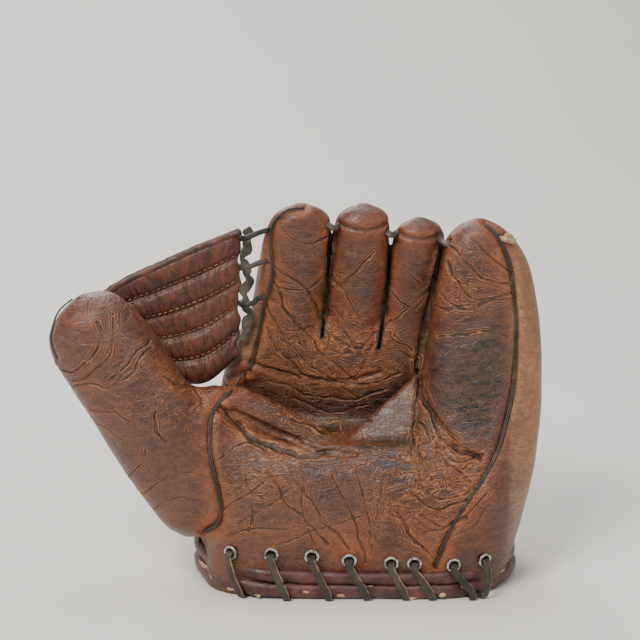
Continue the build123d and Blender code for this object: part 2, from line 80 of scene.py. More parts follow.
# Levels of the pocket wall under the fingers
POCKET = [(70, -44, 100, 16, 54), (90, -48, 108, 17, 54), (105, -50, 108, 16, 53), (125, -49, 98, 10, 50),
          (143, -43, 94, 7, 46), (158, -37, 90, 7, 42), (170, -28, 84, 12, 37)]
BACK_SLOPE = [(104, 20, 72, 32), (108, 15, 96, 30), (114, 9, 120, 26), (119, 4, 146, 20), (120, 0, 170, 15)]
THUMB_BACK = [(-52, 2, 40, 20), (-54, -2, 66, 21), (-62, -8, 92, 20), (-74, -14, 114, 18)]
SCOOP = dict(centre=(22, -8, 139), reach=40, radius=47)
LEFT_ROLL = [(-70, -26, 117, 15), (-52, -21, 121, 13), (-38, -19, 121, 11.5), (-21, -21, 115.5, 10.5),
             (-3, -23, 107.5, 9.5), (14, -25, 99.5, 7.5), (32, -27, 92, 5)]
# The palm's padding where it climbs to the thumb
PALM_RISE = [(-66, -24, 54, 20), (-52, -25, 72, 24), (-48, -27, 90, 22), (-34, -28, 90, 19.5),
             (-14, -30, 83, 17), (12, -32, 76, 15)]
# Deep folds carved into the front: (radius, sink, [(x, z), ...])
CARVES = [(2.6, 0.6, [(-47, 122), (-34, 116.5), (-21, 110), (-6, 103), (8, 98.5), (24, 96), (38, 96)]),
          (2.2, 0.4, [(80.5, 138), (83, 126), (90, 115), (98, 106), (108, 99), (118, 95)]),
          (1.7, 0.2, [(80, 132), (79, 118), (78, 104), (82, 95)]),
          (1.6, 0.3, [(-29, 141), (-10, 133), (10, 130), (34, 128), (56, 134)])]
THUMB_NECK = [(-66, -26, 76, 24), (-60, -26, 96, 22), (-58, -25, 108, 20)]
# Slits between the fingers: (half width, back y, [(x, z), ...])
SLITS = [(1.2, 14, [(17.5, 158), (19, 172), (20.5, 190), (22, 215), (24, 240)]),
         (1.2, 15, [(54.5, 150), (57, 165), (59.3, 185), (61, 205), (61.8, 236)]),
         (1.3, 8, [(81.5, 146), (84.5, 165), (88, 185), (92, 207), (97, 233)])]
TENT = [(80, -4, 131), (34, -20, 92), (104, -36, 98)]
HAND_HOLLOW = [(-4, -54, 132, -43, 42), (14, -50, 132, -42, 43), (40, -44, 138, -40, 44),
               (66, -38, 140, -34, 44), (84, -24, 120, -10, 42)]
TIP_HOLES = [(23, -5, 236), (27, 1, 235), (60, 1, 231), (63, -1, 230), (95, -3, 226), (99, -13, 227)]
KNOT = (133.5, -20.5, 231)
EYELETS = [(-61, 27), (-41, 31), (-15, 31.5), (11, 30), (35, 27), (62, 25), (77, 24.5), (102, 23.5), (122, 26)]
THUMB_WELT = [(-33, 134), (-45, 129), (-52, 121), (-54, 110), (-53.5, 98), (-51, 84), (-48, 70), (-47, 58),
              (-50, 48), (-58, 41)]
LITTLE_WELT = [(121, 239), (125, 236), (131, 228), (136, 215), (138.5, 200), (141, 178), (141, 156), (139, 133),
               (134, 112), (129, 97), (121, 84), (111, 70), (102, 55), (95, 38), (90, 22)]
INDEX_WELT = [(6, 247), (-4, 245.5), (-12, 239), (-15.5, 229), (-15, 215), (-14, 203), (-17, 191), (-21, 176),
              (-24, 160), (-27, 147), (-30, 136)]
THUMB_TIP_WELT = [(-139, 196), (-147, 189), (-151.5, 180), (-152.5, 170), (-149, 160)]
CAP_SEAMS = [[(26, 239), (33, 235), (44, 233.5), (54, 234.5), (61, 237)],
             [(64, 232), (71, 228.5), (81, 227), (90, 228), (96, 231)]]
# Creases seen from the front: (half width, depth, [(x, z), ...])
CREASES = [
    # thumb
    (1.6, 0.9, [(-153, 155), (-138, 153), (-125, 164), (-120, 175), (-122, 185)]),
    (1.6, 0.8, [(-150, 148), (-133, 147), (-117, 161), (-112, 175), (-113, 190)]),
    (1.3, 0.7, [(-114, 149), (-101, 160), (-91, 171)]),
    (1.3, 0.7, [(-114, 144), (-101, 153), (-90, 167)]),
    (1.3, 0.6, [(-144, 138), (-133, 144), (-114, 144)]),
    (1.4, 0.7, [(-129, 125), (-112, 127), (-103, 121)]),
    (1.4, 0.7, [(-86, 127), (-86, 114), (-81, 105)]),
    (1.3, 0.5, [(-112, 75), (-99, 88), (-95, 101)]),
    (1.8, 0.9, [(-75, 142), (-64, 136), (-57, 125)]),
    (1.8, 0.8, [(-83, 149), (-73, 140), (-62, 135)]),
    (1.3, 0.5, [(-138, 114), (-123, 116), (-110, 106)]),
    (1.3, 0.5, [(-101, 65), (-84, 80), (-64, 84)]),
    (1.3, 0.5, [(-95, 50), (-80, 65), (-58, 67)]),
    # palm
    (2.6, 1.6, [(-48, 124), (-28, 105), (-2, 97), (29, 96)]),
    (1.6, 0.8, [(-45, 116), (-28, 103), (-17, 97)]),
    (1.5, 0.7, [(-17, 86), (-6, 71), (22, 37)]),
    (1.4, 0.6, [(-2, 86), (13, 65), (35, 35)]),
    (1.5, 0.7, [(24, 86), (35, 58), (48, 26)]),
    (1.4, 0.6, [(39, 86), (47, 58), (51, 31)]),
    (1.3, 0.5, [(55, 86), (52, 58)]),
    (1.5, 0.7, [(-45, 58), (-32, 71), (-15, 84)]),
    (1.4, 0.6, [(-36, 50), (-19, 65), (0, 78)]),
    (1.3, 0.5, [(-15, 37), (18, 50), (41, 59)]),
    (1.6, 0.9, [(76, 82), (93, 71), (115, 78)]),
    (1.6, 0.9, [(74, 74), (89, 64), (112, 71)]),
    (1.5, 0.7, [(78, 60), (93, 53), (108, 58)]),
    (1.5, 0.8, [(63, 71), (71, 50), (88, 29)]),
    (1.5, 0.7, [(82, 46), (106, 58), (122, 75)]),
    (1.4, 0.6, [(93, 41), (112, 52), (125, 67)]),
    (1.3, 0.6, [(-49, 93), (-36, 101), (-26, 103)]),
    (1.3, 0.5, [(-45, 39), (-28, 47), (-6, 50)]),
    (1.3, 0.5, [(7, 84), (5, 60), (13, 37)]),
    (1.3, 0.5, [(-32, 84), (-26, 65), (-28, 45)]),
    # fingers
    (1.8, 0.9, [(-17, 210), (-2, 201), (13, 183), (18, 170)]),
    (1.8, 0.9, [(-15, 199), (-2, 175), (13, 153), (41, 127)]),
    (1.7, 0.8, [(-19, 183), (-6, 157), (13, 136), (41, 116)]),
    (1.6, 0.8, [(-19, 166), (-6, 144), (18, 124)]),
    (1.8, 1.0, [(18, 169), (22, 159), (41, 151), (50, 162)]),
    (1.8, 1.0, [(52, 161), (59, 153), (76, 144)]),
    (1.6, 0.8, [(-19, 138), (7, 129), (39, 125), (68, 132)]),
    (1.6, 0.8, [(-17, 127), (11, 116), (39, 114), (60, 123)]),
    (1.5, 0.7, [(-2, 114), (24, 105), (48, 110)]),
    (1.4, 0.6, [(22, 203), (32, 190), (41, 172)]),
    (1.4, 0.6, [(52, 220), (35, 201), (22, 192)]),
    (1.5, 0.7, [(28, 164), (46, 151), (61, 170)]),
    (1.4, 0.6, [(63, 188), (80, 179), (89, 194)]),
    (1.5, 0.7, [(61, 169), (74, 179), (87, 192)]),
    (1.4, 0.7, [(63, 162), (76, 149)]),
    (1.4, 0.6, [(-11, 194), (5, 192), (18, 201)]),
    (1.4, 0.6, [(-6, 164), (7, 164), (18, 167)]),
    (1.4, 0.6, [(-15, 149), (0, 136), (24, 125), (41, 123)]),
    (1.3, 0.5, [(-11, 235), (5, 226), (20, 229)]),
    (1.5, 0.7, [(51, 162), (47, 144), (35, 127)]),
    (1.4, 0.6, [(22, 160), (18, 144), (24, 132)]),
    # little
    (1.5, 0.8, [(93, 217), (115, 194), (140, 197)]),
    (1.4, 0.7, [(89, 201), (106, 187), (121, 190)]),
    (1.4, 0.7, [(102, 239), (121, 222), (136, 211)]),
    (1.4, 0.7, [(97, 226), (117, 209), (136, 202)]),
    (1.4, 0.6, [(91, 185), (115, 190), (140, 194)]),
    (2.4, 1.6, [(80, 144), (83, 127), (93, 108), (119, 92)]),
    (2.2, 1.4, [(82, 136), (80, 119), (74, 95)]),
    (1.6, 0.9, [(89, 101), (106, 92), (121, 95)]),
    (1.5, 0.8, [(80, 110), (97, 93), (111, 82)]),
    (1.3, 0.5, [(93, 168), (115, 172), (136, 170)]),
]


# Soft spots in the front view: (strength, x, z, reach)
# The finger bases, the palm under the little finger, the pocket and the thumb's root
WRINKLED = [(0.9, 0, 140, 30), (0.8, 45, 140, 26), (1.0, 96, 88, 26), (0.7, 70, 65, 34), (0.6, -20, 75, 32),
            (0.5, -70, 130, 22), (0.7, 105, 200, 26), (0.35, 15, 180, 40), (0.25, -110, 150, 40)]
WORN = [(0.55, -95, 62, 30), (0.45, -75, 48, 22), (0.35, -145, 165, 22), (0.40, 150, 150, 16),
        (0.45, 152, 205, 26), (0.45, 158, 100, 20), (0.45, 20, 48, 46), (0.40, 110, 25, 30),
        (0.35, -40, 32, 30), (0.35, -32, 165, 14),
        (0.30, 20, 205, 10), (0.25, 58, 200, 8), (0.50, -2, 165, 14), (0.35, 25, 145, 18)]
GRIMY = [(1.15, 112, 150, 27), (1.1, 108, 124, 24), (0.5, 122, 182, 20), (0.80, 66, 108, 20), (0.60, 20, 103, 26),
         (0.45, -15, 118, 14), (0.35, 0, 226, 12), (0.35, 42, 190, 13), (0.30, 78, 200, 12), (0.50, 10, 86, 26),
         (0.45, -30, 88, 18), (0.35, 60, 90, 26), (0.40, -112, 155, 18), (0.35, -88, 120, 16),
         (0.30, -25, 62, 16), (0.45, 104, 215, 12), (0.35, 124, 100, 16)]
POLISHED = [(1.0, 20, 90, 42), (1.0, 112, 140, 38), (0.8, -105, 140, 30), (0.7, 5, 220, 22), (0.6, 42, 205, 18),
            (0.5, 20, 55, 50)]
REDDENED = [(0.9, 100, 190, 26), (0.7, 60, 185, 16), (0.5, 126, 120, 30), (0.5, 90, 75, 26)]


# ---- Small maths ----
def smooth_rows(rows, count=160):
    """Rows of numbers, eased through their stations with a Catmull-Rom curve."""
    rows = np.array(rows, float)
    padded = np.vstack([2 * rows[0] - rows[1], rows, 2 * rows[-1] - rows[-2]])
    place = np.linspace(0, len(rows) - 1 - 1e-6, count)
    i = place.astype(int)
    t = (place - i)[:, None]
    a, b, c, d = padded[i], padded[i + 1], padded[i + 2], padded[i + 3]
    return 0.5 * (2 * b + (c - a) * t + (2 * a - 5 * b + 4 * c - d) * t ** 2 + (3 * b - a - 3 * c + d) * t ** 3)


def unit(rows):
    """Rows scaled to length one."""
    return rows / np.maximum(np.linalg.norm(rows, axis=-1, keepdims=True), 1e-9)


def soft_min(a, b, k):
    """Smooth union of two distances."""
    h = np.clip(0.5 + 0.5 * (b - a) / k, 0, 1)
    return b + (a - b) * h - k * h * (1 - h)


def soft_cut(a, b, k):
    """a with b taken away, with a smooth edge."""
    return -soft_min(-a, b, k)


NOISE_TURN = np.linalg.qr(np.random.default_rng(3).normal(size=(3, 3)))[0]


def noise(points, scale, seed):
    """Smooth seeded noise from 0 to 1 at points, scale millimetres from bump to bump."""
    table = np.random.default_rng(seed).random((32, 32, 32)).astype(np.float32)
    q = points @ NOISE_TURN / scale + 1000.0
    i = np.floor(q).astype(int)
    f = (q - i).astype(np.float32)
    f = f * f * (3 - 2 * f)
    out = np.zeros(len(points), np.float32)
    for corner in range(8):
        step = np.array([corner & 1, corner >> 1 & 1, corner >> 2 & 1])
        j = (i + step) % 32
        weight = np.prod(np.where(step, f, 1 - f), axis=1)
        out += weight * table[j[:, 0], j[:, 1], j[:, 2]]
    return out


def ridged(points, scale, seed):
    """Noise folded into thin ridges, 1 on a ridge."""
    n = 0.6 * noise(points, scale, seed) + 0.4 * noise(points, scale * 0.47, seed + 1)
    return 1 - np.clip(np.abs(n - 0.5) * 7, 0, 1)


def stroke_distance(xz, points):
    """Distance in the front view from points to a polyline, eased between its corners."""
    line = smooth_rows(points, max(8, 6 * len(points)))
    best = np.full(len(xz), 1e9)
    for a, b in zip(line[:-1], line[1:]):
        d = b - a
        t = np.clip(((xz - a) @ d) / max(d @ d, 1e-9), 0, 1)
        best = np.minimum(best, np.hypot(*(xz - a - t[:, None] * d).T))
    return best


def near(xz, x, z, reach):
    """A soft round spot, 1 at its middle."""
    return np.exp(-((xz[:, 0] - x) ** 2 + (xz[:, 1] - z) ** 2) / reach ** 2)


def spots(xz, rows):
    """Sum of soft round spots: (strength, x, z, reach)."""
    return sum(strength * near(xz, x, z, reach) for strength, x, z, reach in rows)


def step(value, low, high):
    """Smooth step from 0 at low to 1 at high."""
    t = np.clip((value - low) / (high - low), 0, 1)
    return t * t * (3 - 2 * t)


# ---- The leather body as a distance field ----
low = np.array([-164.0, -70.0, -3.0])
high = np.array([170.0, 66.0, 256.0])
counts = np.ceil((high - low) / VOXEL).astype(int)
axes = [(low[i] + VOXEL * np.arange(counts[i])).astype(np.float32) for i in range(3)]
X, Y, Z = np.meshgrid(*axes, indexing="ij", sparse=True)


def stall(stations, power=2.3, lean=0.0):
    """Distance to a stall that follows its stations; lean tilts its sections in the front view."""
    c, s = math.cos(lean), math.sin(lean)
    rows = np.array(stations, float)
    along = rows[:, 2] * c - rows[:, 0] * s
    across = rows[:, 0] * c + rows[:, 2] * s
    table = smooth_rows(np.column_stack([along, across, rows[:, 1], rows[:, 3], rows[:, 4]]))
    p_along = Z * c - X * s
    p_across = X * c + Z * s
    centre, depth_at, wide, deep = [np.interp(p_along, table[:, 0], table[:, k]).astype(np.float32)
                                    for k in range(1, 5)]
    du, dv = p_across - centre, Y - depth_at
    f = ((np.abs(du) / wide) ** power + (np.abs(dv) / deep) ** power) ** (1 / power)
    reach = np.sqrt(du ** 2 + dv ** 2)
    side = (f - 1) * np.minimum(reach / np.maximum(f, 1e-3), np.minimum(wide, deep) * 1.3)
    ends = np.maximum(table[0, 0] - p_along, p_along - table[-1, 0])
    return np.maximum(side, ends).astype(np.float32)


def levels(rows, power=3.0):
    """Distance to a body given by its left, right, front and back at each level."""
    table = smooth_rows(rows)
    left, right, front, back = [np.interp(Z, table[:, 0], table[:, k]).astype(np.float32) for k in range(1, 5)]
    du, dv = X - (left + right) / 2, Y - (front + back) / 2
    wide, deep = (right - left) / 2, (back - front) / 2
    corner = np.minimum(wide, deep) * 0.96
    du = np.maximum(np.abs(du) - (wide - corner), 0)
    f = ((du / corner) ** power + (np.abs(dv) / deep) ** power) ** (1 / power)
    side = (f - 1) * corner
    ends = np.maximum(table[0, 0] - Z, Z - table[-1, 0])
    return np.maximum(side, ends).astype(np.float32)


def chain(points):
    """Distance to round links between points with radii."""
    field = None
    for (ax, ay, az, ar), (bx, by, bz, br) in zip(points[:-1], points[1:]):
        d = np.array([bx - ax, by - ay, bz - az], float)
        t = np.clip(((X - ax) * d[0] + (Y - ay) * d[1] + (Z - az) * d[2]) / (d @ d), 0, 1)
        link = np.sqrt((X - ax - t * d[0]) ** 2 + (Y - ay - t * d[1]) ** 2 + (Z - az - t * d[2]) ** 2) - (
            ar + (br - ar) * t)
        field = link if field is None else np.minimum(field, link)
    return field.astype(np.float32)


def triangle(corners, thick):
    """Distance to a flat three-cornered fold of leather."""
    a, b, c = [np.array(p, float) for p in corners]
    normal = unit(np.cross(b - a, c - a))
    flat = np.abs((X - a[0]) * normal[0] + (Y - a[1]) * normal[1] + (Z - a[2]) * normal[2])
    outside = np.full(np.broadcast(X, Y, Z).shape, -1e3, np.float32)
    for p, q in ((a, b), (b, c), (c, a)):
        edge = unit(np.cross(q - p, normal))
        outside = np.maximum(outside, (X - p[0]) * edge[0] + (Y - p[1]) * edge[1] + (Z - p[2]) * edge[2])
    return (np.hypot(np.maximum(outside, 0), flat) - thick).astype(np.float32)


def ball(centre, radius):
    """Distance to a ball."""
    x, y, z = centre
    return np.sqrt((X - x) ** 2 + (Y - y) ** 2 + (Z - z) ** 2) - radius


def slit(half, back, line):
    """Distance to a thin upright gap that follows a line in the front view, from the front to y = back."""
    line = smooth_rows(line)
    across = np.abs(X - np.interp(Z, line[:, 1], line[:, 0]).astype(np.float32)) - half
    return np.maximum(np.maximum(across, Y - back), np.maximum(line[0, 1] - Z, Z - line[-1, 1]))


def glove_field():
    """The whole leather glove, without its web."""
    x, y, z = SCOOP["centre"]
    reach = SCOOP["reach"]
    scoop = np.sqrt((np.maximum(np.abs(X - x) - reach, 0)) ** 2 + (Y - y) ** 2 + (Z - z) ** 2) - SCOOP["radius"]
    hand = soft_cut(levels(HAND), scoop, 7)
    hand = soft_min(hand, levels(POCKET), 6)
    fingers = soft_min(soft_min(stall(INDEX), stall(MIDDLE), 1.6), stall(RING), 1.6)
    body = soft_min(hand, fingers, 4)
    body = soft_min(body, soft_min(chain(PALM_RISE), chain(THUMB_NECK), 8), 9)
    body = soft_min(body, soft_min(chain(BACK_SLOPE), chain(THUMB_BACK), 6), 12)
    body = soft_min(body, chain(LEFT_ROLL), 3.5)
    body = soft_min(body, triangle(TENT, 4.5), 7)
    body = soft_min(body, stall(LITTLE, 2.5), 5)
    body = soft_min(body, stall(THUMB, 2.2, math.radians(27)), 7)
    for half, back, line in SLITS:
        body = soft_cut(body, slit(half, back, line), 1.6)
    body = soft_cut(body, levels(HAND_HOLLOW, 2.5), 3)
    body = np.maximum(body, -Z)
    for hole in TIP_HOLES:
        body = soft_cut(body, ball(hole, 2.3), 1)
    for x, z in EYELETS:
        body = soft_cut(body, ball((x, rim_front(x, z), z), 3.2), 0.8)
    return body


def rim_front(x, z):
    """y of the hand body's front at x and level z."""
    table = smooth_rows(HAND)
    left, right, front, back = [np.interp(z, table[:, 0], table[:, k]) for k in range(1, 5)]
    corner = (back - front) / 2 * 0.96
    off = max(abs(x - (left + right) / 2) - ((right - left) / 2 - corner), 0) / corner
    return (front + back) / 2 - (back - front) / 2 * max(1 - off ** 3, 0) ** (1 / 3)


field = glove_field()


def front_y(x, z):
    """y of the glove's front surface at a place in the front view."""
    i = int(round((x - low[0]) / VOXEL))
    k = int(round((z - low[2]) / VOXEL))
    if not (0 <= i < counts[0] and 0 <= k < counts[2]):
        return None
    column = field[i, :, k]
    inside = np.nonzero(column < 0)[0]
    if len(inside) == 0:
        return None
    j = max(inside[0], 1)
    a, b = column[j - 1], column[j]
    return float(low[1] + VOXEL * (j - 1 + a / (a - b)))


def on_front(points, proud=0.0, count=90):
    """A smooth line on the glove's front through places in the front view."""
    line = smooth_rows(points, count)
    ys = [front_y(x, z) for x, z in line]
    known = [i for i, y in enumerate(ys) if y is not None]
    ys = np.interp(np.arange(count), known, [ys[i] for i in known])
    for _ in range(6):
        ys[1:-1] = (ys[:-2] + 2 * ys[1:-1] + ys[2:]) / 4
    return np.column_stack([line[:, 0], ys - proud, line[:, 1]])


for radius, sink, line in CARVES:
    path = on_front(line, count=24)
    groove = chain([(x, y + sink, z, radius) for x, y, z in path])
    field = soft_cut(field, groove, 2.2)

# ---- Mesh from the field ----
grid = openvdb.FloatGrid()
grid.copyFromArray(np.ascontiguousarray(np.clip(field, -6, 6)))
verts, quads = grid.convertToQuads(isovalue=0.0)
verts = low + VOXEL * np.asarray(verts, float)
quads = np.asarray(quads, int)
edges = np.vstack([quads[:, [0, 1]], quads[:, [1, 2]], quads[:, [2, 3]], quads[:, [3, 0]]])


def relax(points, rounds, strength=0.5):
    """Ease the mesh towards each corner's neighbours, then back a little, so that it keeps its size."""
    degree = np.bincount(edges.ravel(), minlength=len(points)).astype(float)
    for n in range(rounds * 2):
        total = np.zeros_like(points)
        for axis in range(3):
            total[:, axis] = (np.bincount(edges[:, 0], points[edges[:, 1], axis], len(points))
                              + np.bincount(edges[:, 1], points[edges[:, 0], axis], len(points)))
        pull = total / degree[:, None] - points
        points = points + (strength if n % 2 == 0 else -strength * 1.04) * pull
    return points


def corner_normals(points):
    """Unit normals at the corners."""
    flat = np.cross(points[quads[:, 2]] - points[quads[:, 0]], points[quads[:, 3]] - points[quads[:, 1]])
    out = np.zeros_like(points)
    for axis in range(3):
        for k in range(4):
            out[:, axis] += np.bincount(quads[:, k], flat[:, axis], len(points))
    return unit(out)


verts = relax(verts, 5)
normals = corner_normals(verts)
probe = verts + normals * 2.5
outside = field[tuple(np.clip(((probe - low) / VOXEL).astype(int), 0, counts - 1).T)].mean()
if outside < 0:
    quads = quads[:, ::-1]
    normals = -normals

# ---- Creases, wrinkles and colour of the leather ----
def leather_marks(points, normals):
    """Height to add along the normal, and colour, crease and gloss values, at points on the leather."""
    xz = points[:, [0, 2]]
    facing = step(-normals[:, 1], -0.15, 0.35)
    height = np.zeros(len(points))
    # valley gathers painted shade: a darker colour in crease, seam and wrinkle grooves, slits and hollows
    valley = np.zeros(len(points))
    crest = np.zeros(len(points))
    wander = np.column_stack([noise(points, 13, 5) - 0.5, noise(points, 13, 6) - 0.5]) * 4.5
    wander += np.column_stack([noise(points, 5, 7) - 0.5, noise(points, 5, 8) - 0.5]) * 1.6
    stroke = np.full(len(points), 12.0)
    for k, (half, depth, line) in enumerate(CREASES):
        d = stroke_distance(xz + wander, line)
        stroke = np.minimum(stroke, d * (1.35 - 0.4 * depth))
        half = max(0.55 * half, 0.8)
        uneven = np.clip(1.7 * noise(points, 12, 300 + k) + 0.05, 0.2, 1.2)
        groove = np.exp(-(d / half) ** 2) * uneven
        lip = np.exp(-((d - 2.4 * half) / (1.3 * half)) ** 2) * uneven
        puff = np.exp(-(d / 7.0) ** 2)
        height += facing * depth * (-0.95 * groove + 0.30 * lip + 0.34 * (puff - 0.5) * puff)
        valley = np.maximum(valley, facing * groove * min(1, 0.55 + depth / 2))
        crest = np.maximum(crest, facing * lip * min(1, 0.30 + depth / 2))
    for line in CAP_SEAMS:
        d = stroke_distance(xz, line)
        height += facing * (-1.1 * np.exp(-(d / 1.1) ** 2) + 0.5 * np.exp(-((d - 3.0) / 2.0) ** 2))
        valley = np.maximum(valley, facing * np.exp(-(d / 1.1) ** 2))
    for line in (THUMB_WELT, LITTLE_WELT, INDEX_WELT, THUMB_TIP_WELT):
        d = stroke_distance(xz, line)
        height += facing * (-1.0 * np.exp(-(d / 1.9) ** 2) + 0.9 * np.exp(-((d - 5) / 3.2) ** 2))
        valley = np.maximum(valley, facing * 0.6 * np.exp(-(d / 1.8) ** 2))

    # Wrinkles, most of all in the wrinkled places, with painted shade in their grooves
    rough = np.clip(spots(xz, WRINKLED), 0.14, 1.1)
    slanted = points @ np.array([[0.8, 0, -0.6], [0, 0.6, 0], [0.35, 0, 0.95]]).T * np.array([1, 1, 1.9])
    folds = ridged(slanted, 13, 11)
    fine = ridged(points * np.array([1.2, 1, 1.7]), 6.5, 17)
    height += rough * (-0.30 * folds - 0.08 * fine) + 1.3 * (noise(points, 24, 23) - 0.5)
    valley = np.maximum(valley, 0.42 * rough * folds ** 2)

    # Distance in the front view from seams, slits and folds: rubbed tan beside them, plum in between
    seam = np.full(len(points), 40.0)
    for line in [THUMB_WELT, LITTLE_WELT, INDEX_WELT] + [row[2] for row in SLITS + CARVES] + CAP_SEAMS:
        seam = np.minimum(seam, stroke_distance(xz, line))
    patchy = noise(points, 30, 31)
    blotch = 0.6 * noise(points, 14, 37) + 0.4 * noise(points, 6, 38)
    speck = noise(points, 3.6, 41)
    wear = 0.26 * patchy + 0.40 * blotch - 0.20
    wear += 0.42 * np.exp(-(seam / 6.5) ** 2) * facing
    plum = step(seam + 7 * (noise(points, 12, 57) - 0.5), 5, 15) * facing
    plum *= np.clip(3.0 * noise(points, 22, 55) - 0.55, 0, 1)
    wear += spots(xz, WORN)
    wear += 0.45 * step(points[:, 0], 139, 150) * facing
    wear += 0.65 * crest + 0.18 * (speck - 0.5)
    wear -= 0.25 * near(xz, 115, 140, 34)
    dark = spots(xz, GRIMY) * facing * (0.45 + 1.0 * blotch)
    # Painted shade down the gaps between the fingers
    for _, _, line in SLITS:
        gap = np.exp(-(stroke_distance(xz, line[:-1]) / 2.0) ** 2)
        valley = np.maximum(valley, facing * gap)
    sheen = spots(xz, POLISHED) * facing
    red = spots(xz, REDDENED) + 0.4 * patchy
    # pocket is painted shade: the recessed pocket under the fingers gets a darker colour, added to the dark
    # patches
    pocket = step(points[:, 1], 2, 20) * step(points[:, 2], 84, 92) * step(-points[:, 2], -140, -112) * facing
    plum *= 1 - 0.75 * step(points[:, 0], 139, 148)
    stroke = np.where(facing > 0.3, stroke, 12.0)
    kept = [np.clip(v, 0, 1) for v in (wear, dark + 0.3 * pocket, valley, sheen, red, plum, rough + 0.1)]
    return [height, *kept, stroke / 12]


HIDE = np.array([0.090, 0.022, 0.008])
TAN = np.array([0.285, 0.077, 0.018])
PLUM = np.array([0.072, 0.028, 0.020])
SLATE = np.array([0.030, 0.023, 0.021])
OXBLOOD = np.array([0.120, 0.022, 0.012])
VALLEY_SHADE = np.array([0.020, 0.009, 0.006])
SIDE_TAN = np.array([0.400, 0.225, 0.110])


def mix(a, b, t):
    """Blend colours row by row."""
    return a + (b - a) * t[:, None]


def leather_colour(wear, dark, valley, red, plum):
    """Colour of the hide from its wear and grime, with painted shade in its folds, slits, hollows and pocket."""
    colour = np.tile(HIDE, (len(wear), 1))
    colour = mix(colour, OXBLOOD, 0.50 * red)
    colour = mix(colour, TAN, np.clip(wear * 1.05 - 0.12, 0, 1))
    colour = mix(colour, PLUM, 0.85 * plum)
    colour = mix(colour, SLATE, np.clip(dark * 0.95, 0, 0.92))
    # Painted shade in the folds, slits and hollows
    return mix(colour, VALLEY_SHADE, np.clip(valley * 0.85, 0, 0.9))


height, wear, dark, valley, sheen, red, plum, folds, stroke = leather_marks(verts, normals)
verts = verts + normals * height[:, None]
verts[:, 2] = np.maximum(verts[:, 2], 0.2)
# Painted shade in hollows: places close to other leather get a darker colour
hollow_shade = np.zeros(len(verts))
for reach in (4.0, 8.0):
    probe = np.clip(np.round((verts + normals * reach - low) / VOXEL).astype(int), 0, counts - 1)
    hollow_shade += 0.5 * np.clip(1.05 - field[tuple(probe.T)] / reach, 0, 1)
valley = np.clip(valley + 1.1 * np.clip(hollow_shade - 0.18, 0, 1), 0, 1)
colour = leather_colour(wear, dark, valley, red, plum)
gloss = np.clip(0.35 + 0.40 * sheen + 0.35 * plum - 0.4 * valley - 0.15 * wear, 0, 1)
gloss *= 1 - 0.8 * near(verts[:, [0, 2]], 70, 110, 20)


# ---- Materials ----
def material(name):
    """An empty node material, its graph (nodes and links) and its shader."""
    made = bpy.data.materials.new(name)
    made.use_nodes = True
    tree = made.node_tree
    return made, (tree.nodes, tree.links), tree.nodes["Principled BSDF"]


def noise_node(graph, scale, detail=6, rough=0.6):
    """Noise in object space, scale per metre."""
    nodes, links = graph
    place = nodes.new("ShaderNodeTexCoord")
    made = nodes.new("ShaderNodeTexNoise")
    made.inputs["Scale"].default_value = scale
    made.inputs["Detail"].default_value = detail
    made.inputs["Roughness"].default_value = rough
    links.new(place.outputs["Object"], made.inputs["Vector"])
    return made


def ramp(graph, source, stops):
    """A colour ramp on a value."""
    nodes, links = graph
    made = nodes.new("ShaderNodeValToRGB")
    made.color_ramp.elements[0].position, made.color_ramp.elements[0].color = stops[0]
    made.color_ramp.elements[1].position, made.color_ramp.elements[1].color = stops[-1]
    for place, value in stops[1:-1]:
        made.color_ramp.elements.new(place).color = value
    links.new(source, made.inputs["Fac"])
    return made.outputs["Color"]


def grey(v):
    """An even grey as a colour."""
    return (v, v, v, 1)


def crease_family(graph, scale, turn, stretch, shift):
    """Distance from the middle value of a stretched noise: small along thin winding lines."""
    nodes, links = graph
    place = nodes.new("ShaderNodeTexCoord")
    mapping = nodes.new("ShaderNodeMapping")
    mapping.inputs["Rotation"].default_value = (0, math.radians(turn), 0)
    mapping.inputs["Scale"].default_value = stretch
    mapping.inputs["Location"].default_value = (shift, shift, 0)
    made = nodes.new("ShaderNodeTexNoise")
    made.inputs["Scale"].default_value = scale
    made.inputs["Detail"].default_value = 2.5
    made.inputs["Distortion"].default_value = 0.7
    links.new(place.outputs["Object"], mapping.inputs["Vector"])
    links.new(mapping.outputs["Vector"], made.inputs["Vector"])
    away = maths(graph, "SUBTRACT", made.outputs["Fac"], 0.5)
    return maths(graph, "ABSOLUTE", away, 0)


def maths(graph, operation, a, b):
    """One maths node on two outputs, or on an output and a number."""
    nodes, links = graph
    made = nodes.new("ShaderNodeMath")
    made.operation = operation
    for socket, value in zip(made.inputs, (a, b)):
        if isinstance(value, (int, float)):
            socket.default_value = value
        else:
            links.new(value, socket)
    return made.outputs["Value"]


def bump(graph, strength, distance, height, before=None):
    """A bump on top of the normal before it."""
    nodes, links = graph
    made = nodes.new("ShaderNodeBump")
    made.inputs["Strength"].default_value = strength
    made.inputs["Distance"].default_value = distance
    links.new(height, made.inputs["Height"])
    if before is not None:
        links.new(before, made.inputs["Normal"])
    return made.outputs["Normal"]


def attribute(graph, name):
    """A value or colour stored on the mesh."""
    made = graph[0].new("ShaderNodeAttribute")
    made.attribute_name = name
    return made


def blended(graph, kind, a, b, factor=1):
    """Colour b over colour a; b and the factor are outputs or constants."""
    nodes, links = graph
    join = nodes.new("ShaderNodeMix")
    join.data_type, join.blend_type = "RGBA", kind
    links.new(a, join.inputs["A"])
    for value, label in ((factor, "Factor"), (b, "B")):
        if isinstance(value, (int, float, tuple)):
            join.inputs[label].default_value = value
        else:
            links.new(value, join.inputs[label])
    return join.outputs["Result"]


